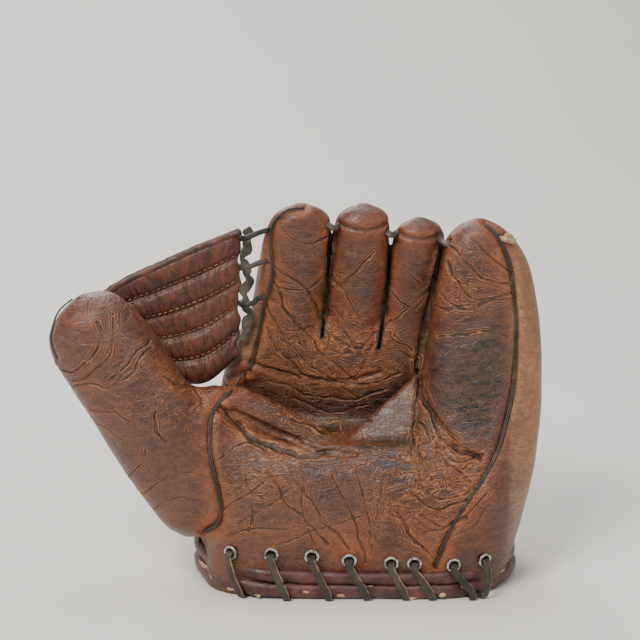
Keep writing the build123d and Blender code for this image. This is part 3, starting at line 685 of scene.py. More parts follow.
# Grooves and crests beside a stroke, for the bump and the colour (painted shade in the grooves, rubbed tan on the
# crests): (distance as a part of 12 mm, strength)
GROOVES_BESIDE = [(0.0, 1), (0.035, 0.9), (0.075, 0), (0.155, 0), (0.185, 0.5), (0.215, 0), (0.30, 0),
                  (0.325, 0.25), (0.35, 0)]
CRESTS_BESIDE = [(0.05, 0), (0.105, 1), (0.16, 0), (0.21, 0), (0.25, 0.55), (0.30, 0), (0.39, 0.25), (0.45, 0)]


def leather_material(name, painted=True, base=(0.1, 0.03, 0.015), worn=(0.3, 0.12, 0.05), grain=1.0,
                     rough=0.36):
    """Worn hide: pebbled grain, fine crackle, scuffs and stains, over painted or plain colour."""
    made, graph, shader = material(name)
    nodes, links = graph
    scuff = noise_node(graph, 260, 8, 0.7)
    stain = noise_node(graph, 70, 5, 0.6)
    if painted:
        source = attribute(graph, "paint").outputs["Color"]
    else:
        source = ramp(graph, stain.outputs["Fac"], [(0.35, (*base, 1)), (0.68, (*worn, 1))])
    tone = ramp(graph, scuff.outputs["Fac"], [(0.30, grey(0.58)), (0.52, grey(1.0)), (0.72, grey(1.42))])
    patch = ramp(graph, stain.outputs["Fac"], [(0.30, grey(0.72)), (0.70, grey(1.22))])
    product = blended(graph, "MULTIPLY", blended(graph, "MULTIPLY", source, tone), patch)
    folds_height = None
    if painted:
        mask = attribute(graph, "folds")
        lines_all, crests_all = None, None
        for scale, turn, stretch, shift, wide in CREASE_FAMILIES:
            away = crease_family(graph, scale, turn, stretch, shift)
            line = ramp(graph, away, [(0.0, grey(1.0)), (wide, grey(0.0))])
            crest = ramp(graph, away, [(wide * 0.6, grey(0)), (wide * 1.7, grey(1)), (wide * 4.5, grey(0))])
            lines_all = line if lines_all is None else maths(graph, "MAXIMUM", lines_all, line)
            crests_all = crest if crests_all is None else maths(graph, "MAXIMUM", crests_all, crest)
        lines_all = maths(graph, "MULTIPLY", lines_all, mask.outputs["Fac"])
        crests_all = maths(graph, "MULTIPLY", crests_all, mask.outputs["Fac"])
        stroke_at = attribute(graph, "stroke")
        wobble = noise_node(graph, 190, 2, 0.5)
        shake = maths(graph, "MULTIPLY", maths(graph, "SUBTRACT", wobble.outputs["Fac"], 0.5), 0.20)
        beside = maths(graph, "ADD", stroke_at.outputs["Fac"], shake)
        faint = noise_node(graph, 85, 2, 0.5)
        seen = ramp(graph, faint.outputs["Fac"], [(0.36, grey(0.15)), (0.58, grey(1.0))])
        groove = ramp(graph, beside, [(place, grey(v)) for place, v in GROOVES_BESIDE])
        raised = ramp(graph, beside, [(place, grey(v)) for place, v in CRESTS_BESIDE])
        lines_all = maths(graph, "MAXIMUM", lines_all, maths(graph, "MULTIPLY", groove, seen))
        crests_all = maths(graph, "MAXIMUM", crests_all, maths(graph, "MULTIPLY", raised, seen))
        # Crests get a lighter rubbed tan; the crease lines get painted shade, a darker colour on top of their
        # bump
        for amount, factor, tint in ((crests_all, 0.66, (0.46, 0.165, 0.052, 1)),
                                     (lines_all, 0.50, (0.034, 0.014, 0.009, 1))):
            product = blended(graph, "MIX", product, tint, maths(graph, "MULTIPLY", amount, factor))
        folds_height = maths(graph, "SUBTRACT", maths(graph, "MULTIPLY", crests_all, 0.45), lines_all)
    crackle = nodes.new("ShaderNodeTexVoronoi")
    crackle.feature = "DISTANCE_TO_EDGE"
    crackle.inputs["Scale"].default_value = 330
    place = nodes.new("ShaderNodeTexCoord")
    twist = nodes.new("ShaderNodeVectorMath")
    twist.operation = "MULTIPLY_ADD"
    twist.inputs[1].default_value = (0.004, 0.004, 0.004)
    links.new(scuff.outputs["Color"], twist.inputs[0])
    links.new(place.outputs["Object"], twist.inputs[2])
    links.new(twist.outputs["Vector"], crackle.inputs["Vector"])
    lines = ramp(graph, crackle.outputs["Distance"], [(0.0, grey(0.0)), (0.10, grey(1.0))])
    pores = noise_node(graph, 900, 3, 0.6)
    normal = bump(graph, 0.24 * grain, 0.0006, lines)
    normal = bump(graph, 0.30 * grain, 0.0009, scuff.outputs["Fac"], normal)
    normal = bump(graph, 0.2 * grain, 0.0003, pores.outputs["Fac"], normal)
    if folds_height is not None:
        normal = bump(graph, 0.85, 0.0009, folds_height, normal)
    links.new(normal, shader.inputs["Normal"])
    links.new(product, shader.inputs["Base Color"])
    shine = ramp(graph, scuff.outputs["Fac"], [(0.32, grey(rough - 0.06)), (0.70, grey(rough + 0.22))])
    if painted:
        less = maths(graph, "MULTIPLY", attribute(graph, "gloss").outputs["Fac"], -0.30)
        duller = maths(graph, "ADD", maths(graph, "ADD", less, shine), 0.12)
        links.new(duller, shader.inputs["Roughness"])
    else:
        links.new(shine, shader.inputs["Roughness"])
    shader.inputs["Specular IOR Level"].default_value = 0.5
    shader.inputs["Coat Weight"].default_value = 0.14 if painted else 0.06
    shader.inputs["Coat Roughness"].default_value = 0.30
    return made


def metal_material(name, light, tarnish, rough):
    """Old plated metal with dull spots."""
    made, graph, shader = material(name)
    links = graph[1]
    blots = noise_node(graph, 420, 6, 0.7)
    links.new(ramp(graph, blots.outputs["Fac"], [(0.40, (*tarnish, 1)), (0.58, (*light, 1))]),
              shader.inputs["Base Color"])
    links.new(ramp(graph, blots.outputs["Fac"], [(0.40, grey(rough + 0.3)), (0.60, grey(rough))]),
              shader.inputs["Roughness"])
    shader.inputs["Metallic"].default_value = 0.85
    return made


# Families of creases in the hide: (scale per metre, turn in degrees, stretch, shift, half width of a line)
CREASE_FAMILIES = [(20, 36, (1.0, 1.0, 2.6), 0.0, 0.0062), (26, -38, (1.0, 1.0, 2.3), 7.3, 0.0065),
                   (38, 24, (1.0, 1.0, 3.6), 3.1, 0.009), (52, -20, (1.0, 1.0, 4.0), 5.7, 0.009)]
HIDE_LOOK = leather_material("hide")
LINING_LOOK = leather_material("lining_suede", False, (0.16, 0.085, 0.045), (0.30, 0.19, 0.11), 1.2, 0.68)
BINDING_LOOK = leather_material("binding_hide", False, (0.042, 0.011, 0.013), (0.125, 0.040, 0.034), 1.0, 0.36)
WELT_LOOK = leather_material("welt_hide", False, (0.022, 0.017, 0.013), (0.070, 0.048, 0.032), 0.6, 0.45)
LACE_LOOK = leather_material("rawhide", False, (0.013, 0.010, 0.007), (0.062, 0.047, 0.032), 0.7, 0.5)
LACE_EDGE_LOOK = leather_material("rawhide_edge", False, (0.16, 0.10, 0.055), (0.34, 0.24, 0.14), 0.7, 0.7)
KNOT_LOOK = leather_material("knot_hide", False, (0.32, 0.20, 0.10), (0.52, 0.36, 0.20), 0.8, 0.6)
WEB_LOOK = leather_material("web_hide", True, grain=0.6, rough=0.52)
EDGE_LOOK = leather_material("edge_hide", False, (0.030, 0.027, 0.021), (0.12, 0.10, 0.075), 1.0, 0.7)
THREAD_LOOK = leather_material("thread", False, (0.16, 0.075, 0.032), (0.34, 0.18, 0.085), 0.5, 0.75)
STRAP_LOOK = leather_material("strap_hide", False, (0.085, 0.030, 0.014), (0.24, 0.10, 0.042), 1.0, 0.42)
NICKEL_LOOK = metal_material("old_nickel", (0.62, 0.60, 0.56), (0.10, 0.085, 0.07), 0.28)
# Near-black barrels in the eyelet holes are painted shade of the holes' insides, made as dull metal
EYELET_HOLE_SHADE_LOOK = metal_material("eyelet_hole_shade", (0.06, 0.05, 0.04), (0.02, 0.016, 0.012), 0.5)
BRASS_LOOK = metal_material("old_brass", (0.50, 0.36, 0.16), (0.12, 0.08, 0.04), 0.32)


# ---- Making pieces ----
def piece(name, points, faces, look, body, nodes=(), paint=None, polish=None, folds=None, stroke=None):
    """A mesh piece from points in millimetres, with its look, body and the CAD nodes it stands for."""
    mesh = bpy.data.meshes.new(name)
    mesh.from_pydata((np.asarray(points, float) * MM).tolist(), [], [list(map(int, f)) for f in faces])
    mesh.update()
    if paint is not None:
        layer = mesh.attributes.new("paint", "FLOAT_COLOR", "POINT")
        solid = np.column_stack([paint, np.ones(len(paint))])
        layer.data.foreach_set("color", solid.astype(np.float32).ravel())
    if polish is not None:
        layer = mesh.attributes.new("gloss", "FLOAT", "POINT")
        layer.data.foreach_set("value", np.asarray(polish, np.float32))
    for label, values in (("folds", folds), ("stroke", stroke)):
        if values is not None:
            layer = mesh.attributes.new(label, "FLOAT", "POINT")
            layer.data.foreach_set("value", np.asarray(values, np.float32))
    mesh.polygons.foreach_set("use_smooth", [True] * len(mesh.polygons))
    made = bpy.data.objects.new(name, mesh)
    bpy.context.scene.collection.objects.link(made)
    mesh.materials.append(look)
    if nodes:
        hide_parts(*nodes)
    if isinstance(body, str):
        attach(made, body)
    else:
        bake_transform(made)
    return made


THUMB_BEND = ("palm", "thumb", (-47.5, 0, 60), (-70, 0, 60))
FINGER_BEND = ("palm", "fingers", (0, 0, 90), (0, 0, 126))


def part_of(keep):
    """The corners and faces of the leather mesh that keep selects."""
    faces = quads[keep]
    used, index = np.unique(faces, return_inverse=True)
    return used, index.reshape(-1, 4)


middle = verts[quads].mean(axis=1)
welt_line = smooth_rows(THUMB_WELT, 60)
order = np.argsort(welt_line[:, 1])
seam_x = np.interp(middle[:, 2], welt_line[order, 1], welt_line[order, 0])
seam_x = np.where(middle[:, 1] > 0, -47, seam_x)
is_thumb = (middle[:, 0] < seam_x) & (middle[:, 2] > 30)
hollow = levels(HAND_HOLLOW, 2.5)
cell = tuple(np.clip(np.round((middle - low) / VOXEL).astype(int), 0, counts - 1).T)
is_inner = (np.abs(hollow[cell]) < 2.2) & (middle[:, 2] > 1.0)
is_roll = (middle[:, 0] < 34) & (middle[:, 1] < 0) & (middle[:, 2] < 134)
is_palm = ((middle[:, 2] < 88) | is_roll) & ~is_thumb & ~is_inner
is_upper = ~is_thumb & ~is_palm & ~is_inner
is_thumb &= ~is_inner
x, y, z = middle.T
little_seam = smooth_rows(LITTLE_WELT, 60)
order = np.argsort(little_seam[:, 1])
past_seam = (x > np.interp(z, little_seam[order, 1], little_seam[order, 0])) | (y > 0)
index_seam = smooth_rows(INDEX_WELT, 60)
order = np.argsort(index_seam[:, 1])
before_seam = (x < np.interp(z, index_seam[order, 1], index_seam[order, 0])) & (z > 122)
split_a = np.interp(z, [88, 150, 238, 256], [18, 18.5, 24, 24])
split_b = np.interp(z, [88, 150, 238, 256], [56, 56.5, 61, 61])
split_c = np.where(y < 6, np.interp(z, [88, 118, 150, 256], [64, 78, 85, 97]), 94)
is_pocket = (z < 148) & (x < split_c)
groups = {
    "thumb_leather": (is_thumb, THUMB_BEND, "body_leather",
                      [f"thumb_{n}" for n in ("front_leather", "back_leather", "pad", "lining")]),
    "palm_leather": (is_palm, THUMB_BEND, "body_leather",
                     ["palm_front_leather", "palm_back_leather", "heel_pad"]),
    "hand_lining": (is_inner, THUMB_BEND, "lining_leather", ["palm_lining"]),
    "pocket_leather_skin": (is_upper & is_pocket & (y < 27), FINGER_BEND, "body_leather",
                            ["pocket_leather", "pocket_pad", "pocket_lining"]),
    "knuckle_leather_skin": (is_upper & is_pocket & (y >= 27), FINGER_BEND, "body_leather",
                             ["knuckle_back_leather"]),
    "index_side_panel": (is_upper & ~is_pocket & (x < split_a) & before_seam, FINGER_BEND, "side_leather",
                         ["index_back_leather"]),
    "index_leather": (is_upper & ~is_pocket & (x < split_a) & ~before_seam, FINGER_BEND, "body_leather",
                      ["index_front_leather", "index_pad", "index_lining"]),
    "middle_leather": (is_upper & ~is_pocket & (x >= split_a) & (x < split_b), FINGER_BEND, "body_leather",
                       [f"middle_{n}" for n in ("front_leather", "back_leather", "pad", "lining", "welt")]),
    "ring_leather": (is_upper & ~is_pocket & (x >= split_b) & (x < split_c), FINGER_BEND, "body_leather",
                     [f"ring_{n}" for n in ("front_leather", "back_leather", "pad", "lining", "welt")]),
    "little_leather": (is_upper & (x >= split_c) & ~past_seam, FINGER_BEND, "body_leather",
                       ["little_front_leather", "little_pad", "little_lining"]),
    "little_side_panel": (is_upper & (x >= split_c) & past_seam, FINGER_BEND, "side_leather",
                          ["little_back_leather"]),
}
side = step(verts[:, 0], 134, 142) * step(verts[:, 2], 20, 60)
gusset = step(-verts[:, 0], 14, 26) * step(verts[:, 2], 130, 150) * step(-normals[:, 0], -0.6, 0.2) * (
    verts[:, 0] > -48)
colour = mix(colour, SIDE_TAN, 0.45 * side + 0.30 * gusset * (1 - dark))
for name, (keep, bend, slot_name, nodes) in groups.items():
    used, faces = part_of(keep)
    look = LINING_LOOK if name == "hand_lining" else HIDE_LOOK
    made = piece(name, verts[used], faces, look, bend, nodes, paint=colour[used], polish=gloss[used],
                 folds=folds[used], stroke=stroke[used])


# ---- Swept pieces: welts, beads and laces ----
def sweep(path, outline, up=(0, -1, 0), taper=None, closed_ends=True):
    """Points and faces of an outline carried along a path; up is the outline's second direction."""
    path = np.asarray(path, float)
    ways = unit(np.gradient(path, axis=0))
    ups = np.tile(np.array(up, float), (len(path), 1)) if np.ndim(up) == 1 else np.asarray(up, float)
    ups = ups - ways * (ups * ways).sum(1)[:, None]
    ups = unit(ups)
    sides = np.cross(ways, ups)
    outline = np.asarray(outline, float)
    scale = np.ones(len(path)) if taper is None else np.asarray(taper)
    points = (path[:, None] + sides[:, None] * (outline[None, :, :1] * scale[:, None, None])
              + ups[:, None] * (outline[None, :, 1:] * scale[:, None, None])).reshape(-1, 3)
    n, m = len(path), len(outline)
    faces = [(i * m + j, i * m + (j + 1) % m, (i + 1) * m + (j + 1) % m, (i + 1) * m + j)
             for i in range(n - 1) for j in range(m)]
    if closed_ends:
        faces += [tuple(range(m))[::-1], tuple(range((n - 1) * m, n * m))]
    return points, faces


def oval(wide, tall, count=14, power=2.0):
    """A rounded outline, from round (power 2) to nearly square (power 5)."""
    turn = np.linspace(0, 2 * math.pi, count, endpoint=False)
    c, s = np.cos(turn), np.sin(turn)
    return np.column_stack([np.sign(v) * np.abs(v) ** (2 / power) * size for v, size in ((c, wide), (s, tall))])


def joined(parts):
    """Several swept shapes as one."""
    points, faces, start = [], [], 0
    for p, f in parts:
        points.append(p)
        faces += [tuple(v + start for v in face) for face in f]
        start += len(p)
    return np.vstack(points), faces


def swept_piece(name, parts, look, body, nodes=(), worn=None, lowest=None):
    """Swept shapes joined as one piece; worn is lumpy's size, scale and seed, lowest keeps it off the floor."""
    points, faces = joined(parts)
    if worn:
        points = lumpy(points, *worn)
    if lowest is not None:
        points[:, 2] = np.maximum(points[:, 2], lowest)
    piece(name, points, faces, look, body, nodes)


def row_of_stitches(row, first, last, every, length, bow, outline, up, flat=False):
    """Short raised threads along a row, from first to last millimetres before its end."""
    lengths = np.concatenate([[0], np.cumsum(np.linalg.norm(np.diff(row, axis=0), axis=1))])
    made, start = [], first
    while start < lengths[-1] - last:
        span = np.linspace(start, start + length, len(bow))
        bit = np.column_stack([np.interp(span, lengths, row[:, k]) for k in range(3)])
        bit[:, 1] = (bit[:, 1].min() if flat else bit[:, 1]) + bow
        made.append(sweep(bit, outline, up=up))
        start += every
    return made


def double_welt(line, proud=0.85):
    """Two thin rolled edges side by side along a seam on the front."""
    path = on_front(line, proud=0.1)
    side = np.cross(unit(np.gradient(path, axis=0)), (0, -1, 0))
    return joined([sweep(path + side * shift, oval(0.62, proud, 10)) for shift in (-0.56, 0.56)])


def lumpy(points, size, scale, seed):
    """Points moved a little in and out, as worn leather is."""
    shift = np.column_stack([noise(points, scale, seed + k) - 0.5 for k in range(3)])
    return points + 2 * size * shift


for name, line, bend, node in (("thumb_seam_welt", THUMB_WELT, THUMB_BEND, "thumb_welt"),
                               ("little_seam_welt", LITTLE_WELT, FINGER_BEND, "little_welt"),
                               ("index_seam_welt", INDEX_WELT, FINGER_BEND, "index_welt")):
    points, faces = double_welt(line)
    piece(name, points, faces, WELT_LOOK, bend, [node])
points, faces = sweep(on_front(THUMB_TIP_WELT, proud=0.1), oval(0.55, 0.5, 8))
piece("thumb_tip_welt", points, faces, WELT_LOOK, THUMB_BEND)

# Thin rolled edges inside the slits between the fingers
edges_in = []
for half, back, line in SLITS[:2]:
    down = smooth_rows(line[:-1], 40)[::-1]
    left_side = np.column_stack([down[:, 0] - half - 0.5, down[:, 1]])
    right_side = np.column_stack([down[:, 0] + half + 0.5, down[:, 1]])
    around = np.vstack([left_side, [[line[0][0], line[0][1] - 1.6]], right_side[::-1]])
    path = on_front(around, proud=-0.5, count=110)
    edges_in.append(sweep(path, oval(0.72, 0.72, 9)))
swept_piece("finger_slit_edges", edges_in, WELT_LOOK, FINGER_BEND)

# A soft inner gusset behind the fold between the thumb and the fingers
gusset_path = smooth_rows([(-46, 2, 84), (-46, 3, 98), (-45, 4, 111), (-43, 6, 122)], 24)
points, faces = sweep(gusset_path, oval(8.5, 13, 24), up=(0, -1, 0),
                      taper=0.35 + 0.65 * np.sin(np.linspace(0.35, 2.6, 24)))
piece("fold_gusset", points, faces, STRAP_LOOK, "palm")


def on_back(points, count):
    """A smooth line on the glove's back through places seen from the front."""
    line = smooth_rows(points, count)
    ys = []
    for x, z in line:
        i, k = int(round((x - low[0]) / VOXEL)), int(round((z - low[2]) / VOXEL))
        solid = np.nonzero(field[i, :, k] < 0)[0]
        ys.append(low[1] + VOXEL * (solid[-1] + 0.5))
    ys = np.array(ys)
    for _ in range(8):
        ys[1:-1] = (ys[:-2] + 2 * ys[1:-1] + ys[2:]) / 4
    return np.column_stack([line[:, 0], ys, line[:, 1]])


# Back seams: a rolled seam between two rows of stitches
BACK_SEAMS = [[(-40, 103), (-10, 107), (30, 109), (70, 107), (100, 98)],
              [(-46, 14), (-47, 40), (-46, 66), (-42, 88), (-40, 103)],
              [(118, 14), (120, 40), (116, 66), (108, 84), (100, 98)]]
stitches, rolls = [], []
for line in BACK_SEAMS:
    path = on_back(line, 110)
    rolls.append(sweep(path, oval(0.9, 0.8, 10), up=(0, 1, 0)))
    aside = np.cross(unit(np.gradient(path, axis=0)), (0, 1, 0))
    for shift in (-2.6, 2.6):
        bow = 0.35 - 0.35 * np.linspace(-1, 1, 6) ** 2
        stitches += row_of_stitches(path + aside * shift, 2, 4, 4.0, 2.6, bow, oval(0.40, 0.34, 7), (0, 1, 0))
swept_piece("back_seam_rolls", rolls, WELT_LOOK, "palm")
swept_piece("back_seam_stitches", stitches, THREAD_LOOK, "palm")

# ---- Heel rim ----
def rim_path(front, reach, z, x_start, x_end, count=150):
    """A line along the heel's rim, front or back, standing out by reach."""
    xs = 38 + (x_end - x_start) / 2 * np.sin(np.linspace(-math.pi / 2, math.pi / 2, count)) + (
        x_start + x_end) / 2 - 38
    left, right, near_y, far_y = HAND[1][1] - reach, HAND[1][2] + reach, HAND[1][3] - reach, HAND[1][4] + reach
    half, centre_x, centre_y = (far_y - near_y) / 2, (left + right) / 2, (near_y + far_y) / 2
    off = np.maximum(np.abs(xs - centre_x) - ((right - left) / 2 - half), 0) / half
    depth = half * np.sqrt(np.maximum(1 - off ** 2, 0))
    return np.column_stack([xs, centre_y - depth if front else centre_y + depth, np.full(count, float(z))])


def outward(path):
    """Directions out of the rim."""
    centre = np.clip(path[:, 0], -10, 90)
    out = path - np.column_stack([centre, np.full(len(path), -2.0), path[:, 2]])
    return unit(out)


RIM_LEFT, RIM_RIGHT = -65.5, 144.5
beads = []
for level, reach, tall in ((5.2, 1.8, 4.9), (13.8, 1.4, 4.5)):
    path = rim_path(True, reach, level, RIM_LEFT, RIM_RIGHT)
    rise = 4.5 * ((path[:, 0] - 60) / 105) ** 2
    path[:, 2] += rise * (0.5 if level < 10 else 1.0)
    beads.append(sweep(path, oval(tall, 3.7, 18), up=outward(path)))
swept_piece("heel_binding_beads", beads, BINDING_LOOK, "palm", ["heel_binding"],
            worn=(0.45, 9, 61), lowest=0.3)

# Places on the binding where the hide is worn through: (x, z, size)
WORN_THROUGH = [(-52, 19, 4.2), (-55, 8, 2.6), (30, 3.5, 2.8), (62, 6, 3.6), (75, 2.5, 4.0), (95, 4.5, 3.0),
                (8, 6, 1.8), (128, 19, 2.6), (-61, 13, 3.4), (-42, 4, 2.4), (-24, 2.8, 2.0), (48, 9, 1.6),
                (110, 8, 2.8), (134, 12, 2.2)]
patches = []
for x, z, size in WORN_THROUGH:
    path = rim_path(True, 4.9, z, x - size, x + size, 12)
    outline = oval(size * 0.55, 0.7, 12)
    patches.append(sweep(path, outline, up=outward(path), taper=np.sin(np.linspace(0.25, math.pi - 0.25, 12))))
swept_piece("binding_worn_patches", patches, KNOT_LOOK, "palm", worn=(1.0, 3.0, 67))

path = rim_path(False, 1.6, 6, RIM_LEFT, RIM_RIGHT)
bead = sweep(path, oval(5.2, 3.4, 18), up=outward(path))
swept_piece("wrist_binding_bead", [bead], BINDING_LOOK, "palm", ["wrist_binding"],
            worn=(0.3, 9, 71), lowest=0.3)

rings, sockets, laces, lace_edges = [], [], [], []
for i, (x, z) in enumerate(EYELETS):
    y = rim_front(x, z)
    out = outward(np.array([[x, y, z], [x, y, z]]))[0]
    out = unit(out + np.array([0, 0, -0.05]))
    across = unit(np.cross(out, (0, 0, 1)))
    up = np.cross(across, out)
    if up[2] < 0:
        up = -up
    centre = np.array([x, y, z]) + out * 0.9
    turn = np.linspace(0, 2 * math.pi, 37)
    circle = centre + np.outer(np.cos(turn), across) * 4.0 + np.outer(np.sin(turn), up) * 3.8
    radial = np.outer(np.cos(turn), across) + np.outer(np.sin(turn), up)
    rings.append(sweep(circle, oval(0.55, 1.0, 10), up=radial, closed_ends=False))
    # A near-black barrel inside the hole: painted shade
    tube = [centre + out * k for k in (0.2, -1.5, -3.5, -5.0)]
    sockets.append(sweep(tube, oval(3.4, 3.3, 20), up=up, closed_ends=False))
    lean = (6.0, 7.5, 9.0, 10.0, 10.5, 8.5, 10.5, 11.0, -1.5)[i]
    drop = z - 4
    run = [centre - out * 4 + up * 0.3, centre + out * 1.0, centre + out * 3.1 - up * 3.5,
           centre + out * 5.6 - up * (drop * 0.55) + np.array([lean * 0.55, 0, 0]),
           centre + out * 5.7 - up * (drop * 0.86) + np.array([lean * 0.95, 0, 0]),
           centre + out * 3.2 - up * (z - 1.4) + np.array([lean * 1.1, 0, 0]),
           centre - out * 4.5 - up * (z - 1.3) + np.array([lean * 1.15, 0, 0])]
    line = smooth_rows(run, 56)
    facing_out = np.tile(out, (56, 1))
    facing_out[-16:] = out - np.linspace(0, 2.4, 16)[:, None] * np.array([0, 0, 1.0])
    facing_out[:12] = out + np.linspace(1.2, 0, 12)[:, None] * up
    laces.append(sweep(line, oval(2.4, 0.8, 16, 3.4), up=facing_out))
    edge = np.cross(unit(np.gradient(line, axis=0)), unit(facing_out))
    hand = 1 if edge[28][0] > 0 else -1
    lace_edges.append(sweep((line + edge * hand * 2.2)[14:46], oval(0.42, 0.62, 8), up=facing_out[14:46]))
swept_piece("eyelet_rings", rings, NICKEL_LOOK, "palm", ["heel_eyelets"])
swept_piece("eyelet_barrels", sockets, EYELET_HOLE_SHADE_LOOK, "palm")
swept_piece("heel_lacing", laces, LACE_LOOK, "palm", ["heel_lace"], worn=(0.18, 5, 81),
            lowest=0.25)
swept_piece("heel_lacing_edges", lace_edges, LACE_EDGE_LOOK, "palm", worn=(0.3, 2.5, 83))

# ---- Fingertip lace and its knot ----
# Ties between the fingertips: (start, end, sag)
TIP_TIES = [((20, -1, 236.5), (30, 4, 235), 1.0), ((57, 4, 231.5), (66, 3, 229.5), 1.2),
            ((92, 0, 226.5), (102, -9, 227), 1.0)]
ties = []
for (ax, ay, az), (bx, by, bz), sag in TIP_TIES:
    middle_point = ((ax + bx) / 2, min(ay, by) - 5.0, (az + bz) / 2 - sag)
    run = [(ax, ay + 4, az), (ax + 1, ay - 2, az), middle_point, (bx - 1, by - 2, bz), (bx, by + 4, bz)]
    line = smooth_rows(run, 30)
    ties.append(sweep(line, oval(2.1, 1.0, 14, 3), up=(0, -0.8, 0.6)))
swept_piece("fingertip_lacing", ties, LACE_LOOK, "fingers", ["fingertip_lace"],
            worn=(0.2, 4, 91))
kx, _, kz = KNOT
ky = front_y(kx - 4, kz) or KNOT[1]
turn = np.linspace(0, 2.6 * math.pi, 60)
wrap = np.column_stack([kx + 1.5 + 2.1 * np.cos(turn), ky - 1.4 + 1.3 * np.sin(turn * 0.5),
                        kz + 2.0 * np.sin(turn)])
stub = smooth_rows([(kx - 4, ky + 3, kz), (kx - 2, ky - 1, kz), (kx + 2, ky - 2.5, kz - 0.5),
                    (kx + 6, ky - 2.0, kz - 1.6)], 20)
loops = [sweep(wrap, oval(1.5, 1.2, 10), up=(0, -1, 0.2)), sweep(stub, oval(1.9, 1.2, 12), up=(0, -1, 0))]
swept_piece("fingertip_lace_knot", loops, KNOT_LOOK, "fingers", ["fingertip_knot"],
            worn=(0.5, 3, 93))
turn = np.linspace(0, 2 * math.pi, 30)
hole = np.column_stack([kx - 4 + 3.0 * np.cos(turn), np.full(30, ky - 0.2), kz + 0.5 + 2.3 * np.sin(turn)])
points, faces = sweep(hole, oval(0.7, 0.6, 8), up=(0, -1, 0), closed_ends=False)
piece("knot_hole_rim", points, faces, LACE_LOOK, "fingers")

# ---- Web ----
WEB_TOP = [(-128, 189), (-112, 198.5), (-92, 207.5), (-61, 221), (-35, 231.5)]
WEB_BOTTOM = [(-97, 141), (-84, 133), (-70, 128), (-56, 130), (-37, 147)]
WEB_RIBS = 5
WEB_FRONT_LEFT, WEB_FRONT_RIGHT = -4.2, 0.5


def web_grid(cols, rows):
    """Front-view places of the web, from its top edge to its bottom edge."""
    top = smooth_rows(WEB_TOP, cols)
    bottom = smooth_rows(WEB_BOTTOM, cols)
    v = np.linspace(0, 1, rows)[:, None, None]
    xz = top[None] * (1 - v) + bottom[None] * v
    ragged = np.sin(v[:, :, 0] * 19) * 0.9 + np.sin(v[:, :, 0] * 47) * 0.5
    xz[:, :, 0] += ragged * np.linspace(0, 1, cols)[None] ** 8
    return xz


def web_base(x):
    """y of the web's middle."""
    t = (x + 112) / 80
    behind_thumb = 3.5 - 5.0 * step(-x, 104, 126)
    bow = 1.5 * np.sin(math.pi * np.clip(t, 0, 1))
    return WEB_FRONT_LEFT + behind_thumb + (WEB_FRONT_RIGHT - WEB_FRONT_LEFT) * t + bow


COLS, ROWS = 150, 190
xz = web_grid(COLS, ROWS).reshape(-1, 2)
u = np.tile(np.linspace(0, 1, COLS), ROWS)
v = np.repeat(np.linspace(0, 1, ROWS), COLS)
phase = v * WEB_RIBS
within = phase - np.floor(np.clip(phase, 0, WEB_RIBS - 1e-6))
rib = np.abs(np.sin(math.pi * within)) ** 0.62
rib_tall = np.array([3.4, 3.0, 1.7, 3.2, 3.6])[np.clip(phase.astype(int), 0, WEB_RIBS - 1)]
flat = np.column_stack([u * 92, np.zeros_like(u), v * 80])
drift = np.column_stack([noise(flat, 14, 101), noise(flat, 14, 102), noise(flat, 14, 103)]) - 0.5
pleat = ridged((flat + drift * 5) * np.array([1.0, 1, 0.16]), 3.4, 105)
pleat2 = ridged((flat + drift * 4) * np.array([1.0, 1, 0.3]), 5.6, 109)
edge_fade = np.clip(np.minimum(np.minimum(u, 1 - u) * 14, np.minimum(v, 1 - v) * 26), 0, 1) ** 0.5
rows_dip = np.exp(-((np.minimum(within, 1 - within) - 0.085) * 13) ** 2)
rows_dip *= (phase > 0.5) * (phase < WEB_RIBS - 0.5)
relief = rib_tall * rib + 0.6 - 0.55 * pleat * (0.35 + 0.65 * rib) - 0.35 * pleat2 - 0.5 * rows_dip
relief = np.maximum(relief * edge_fade, 0.15)
base = web_base(xz[:, 0])
front_points = np.column_stack([xz[:, 0], base - relief, xz[:, 1]])
back_relief = np.maximum((1.6 * rib + 0.6 - 0.35 * pleat2) * edge_fade, 0.15)
back_points = np.column_stack([xz[:, 0], base + back_relief, xz[:, 1]])
cells = [(r * COLS + c, r * COLS + c + 1, (r + 1) * COLS + c + 1, (r + 1) * COLS + c)
         for r in range(ROWS - 1) for c in range(COLS - 1)]
WEB_BROWN = np.array([0.088, 0.018, 0.007])
WEB_RED = np.array([0.150, 0.030, 0.011])
WEB_GROOVE_SHADE = np.array([0.016, 0.007, 0.006])
shade = noise(flat, 20, 111)
reddened = np.clip(shade * 1.3 - 0.2 + 0.3 * (rib_tall < 2), 0, 1)
# Painted shade in the pleat grooves and in the dips between the ribs
web_groove_shade = np.clip(0.62 * pleat * (0.4 + 0.6 * rib) + 0.25 * pleat2 + 0.5 * (1 - rib) ** 2, 0, 0.9)
web_colour = mix(mix(np.tile(WEB_BROWN, (len(flat), 1)), WEB_RED, reddened), WEB_GROOVE_SHADE, web_groove_shade)
web_gloss = np.clip(0.15 + 0.3 * rib * (1 - pleat), 0, 1)
made = piece("web_front_skin", front_points, cells, WEB_LOOK, "web",
             ["web_front_leather", "web_rib_pads"], paint=web_colour, polish=web_gloss,
             folds=np.full(len(flat), 0.12), stroke=np.ones(len(flat)))
rim = (list(range(COLS)) + [r * COLS + COLS - 1 for r in range(1, ROWS)]
       + [(ROWS - 1) * COLS + c for c in range(COLS - 2, -1, -1)] + [r * COLS for r in range(ROWS - 2, 0, -1)])
total = len(front_points)
back_cells = [face[::-1] for face in cells]
back_all = np.vstack([back_points, front_points[rim]])
side_cells = [(rim[i], rim[(i + 1) % len(rim)], total + (i + 1) % len(rim), total + i) for i in range(len(rim))]
paint_all = np.vstack([web_colour, web_colour[rim] * 0.6])
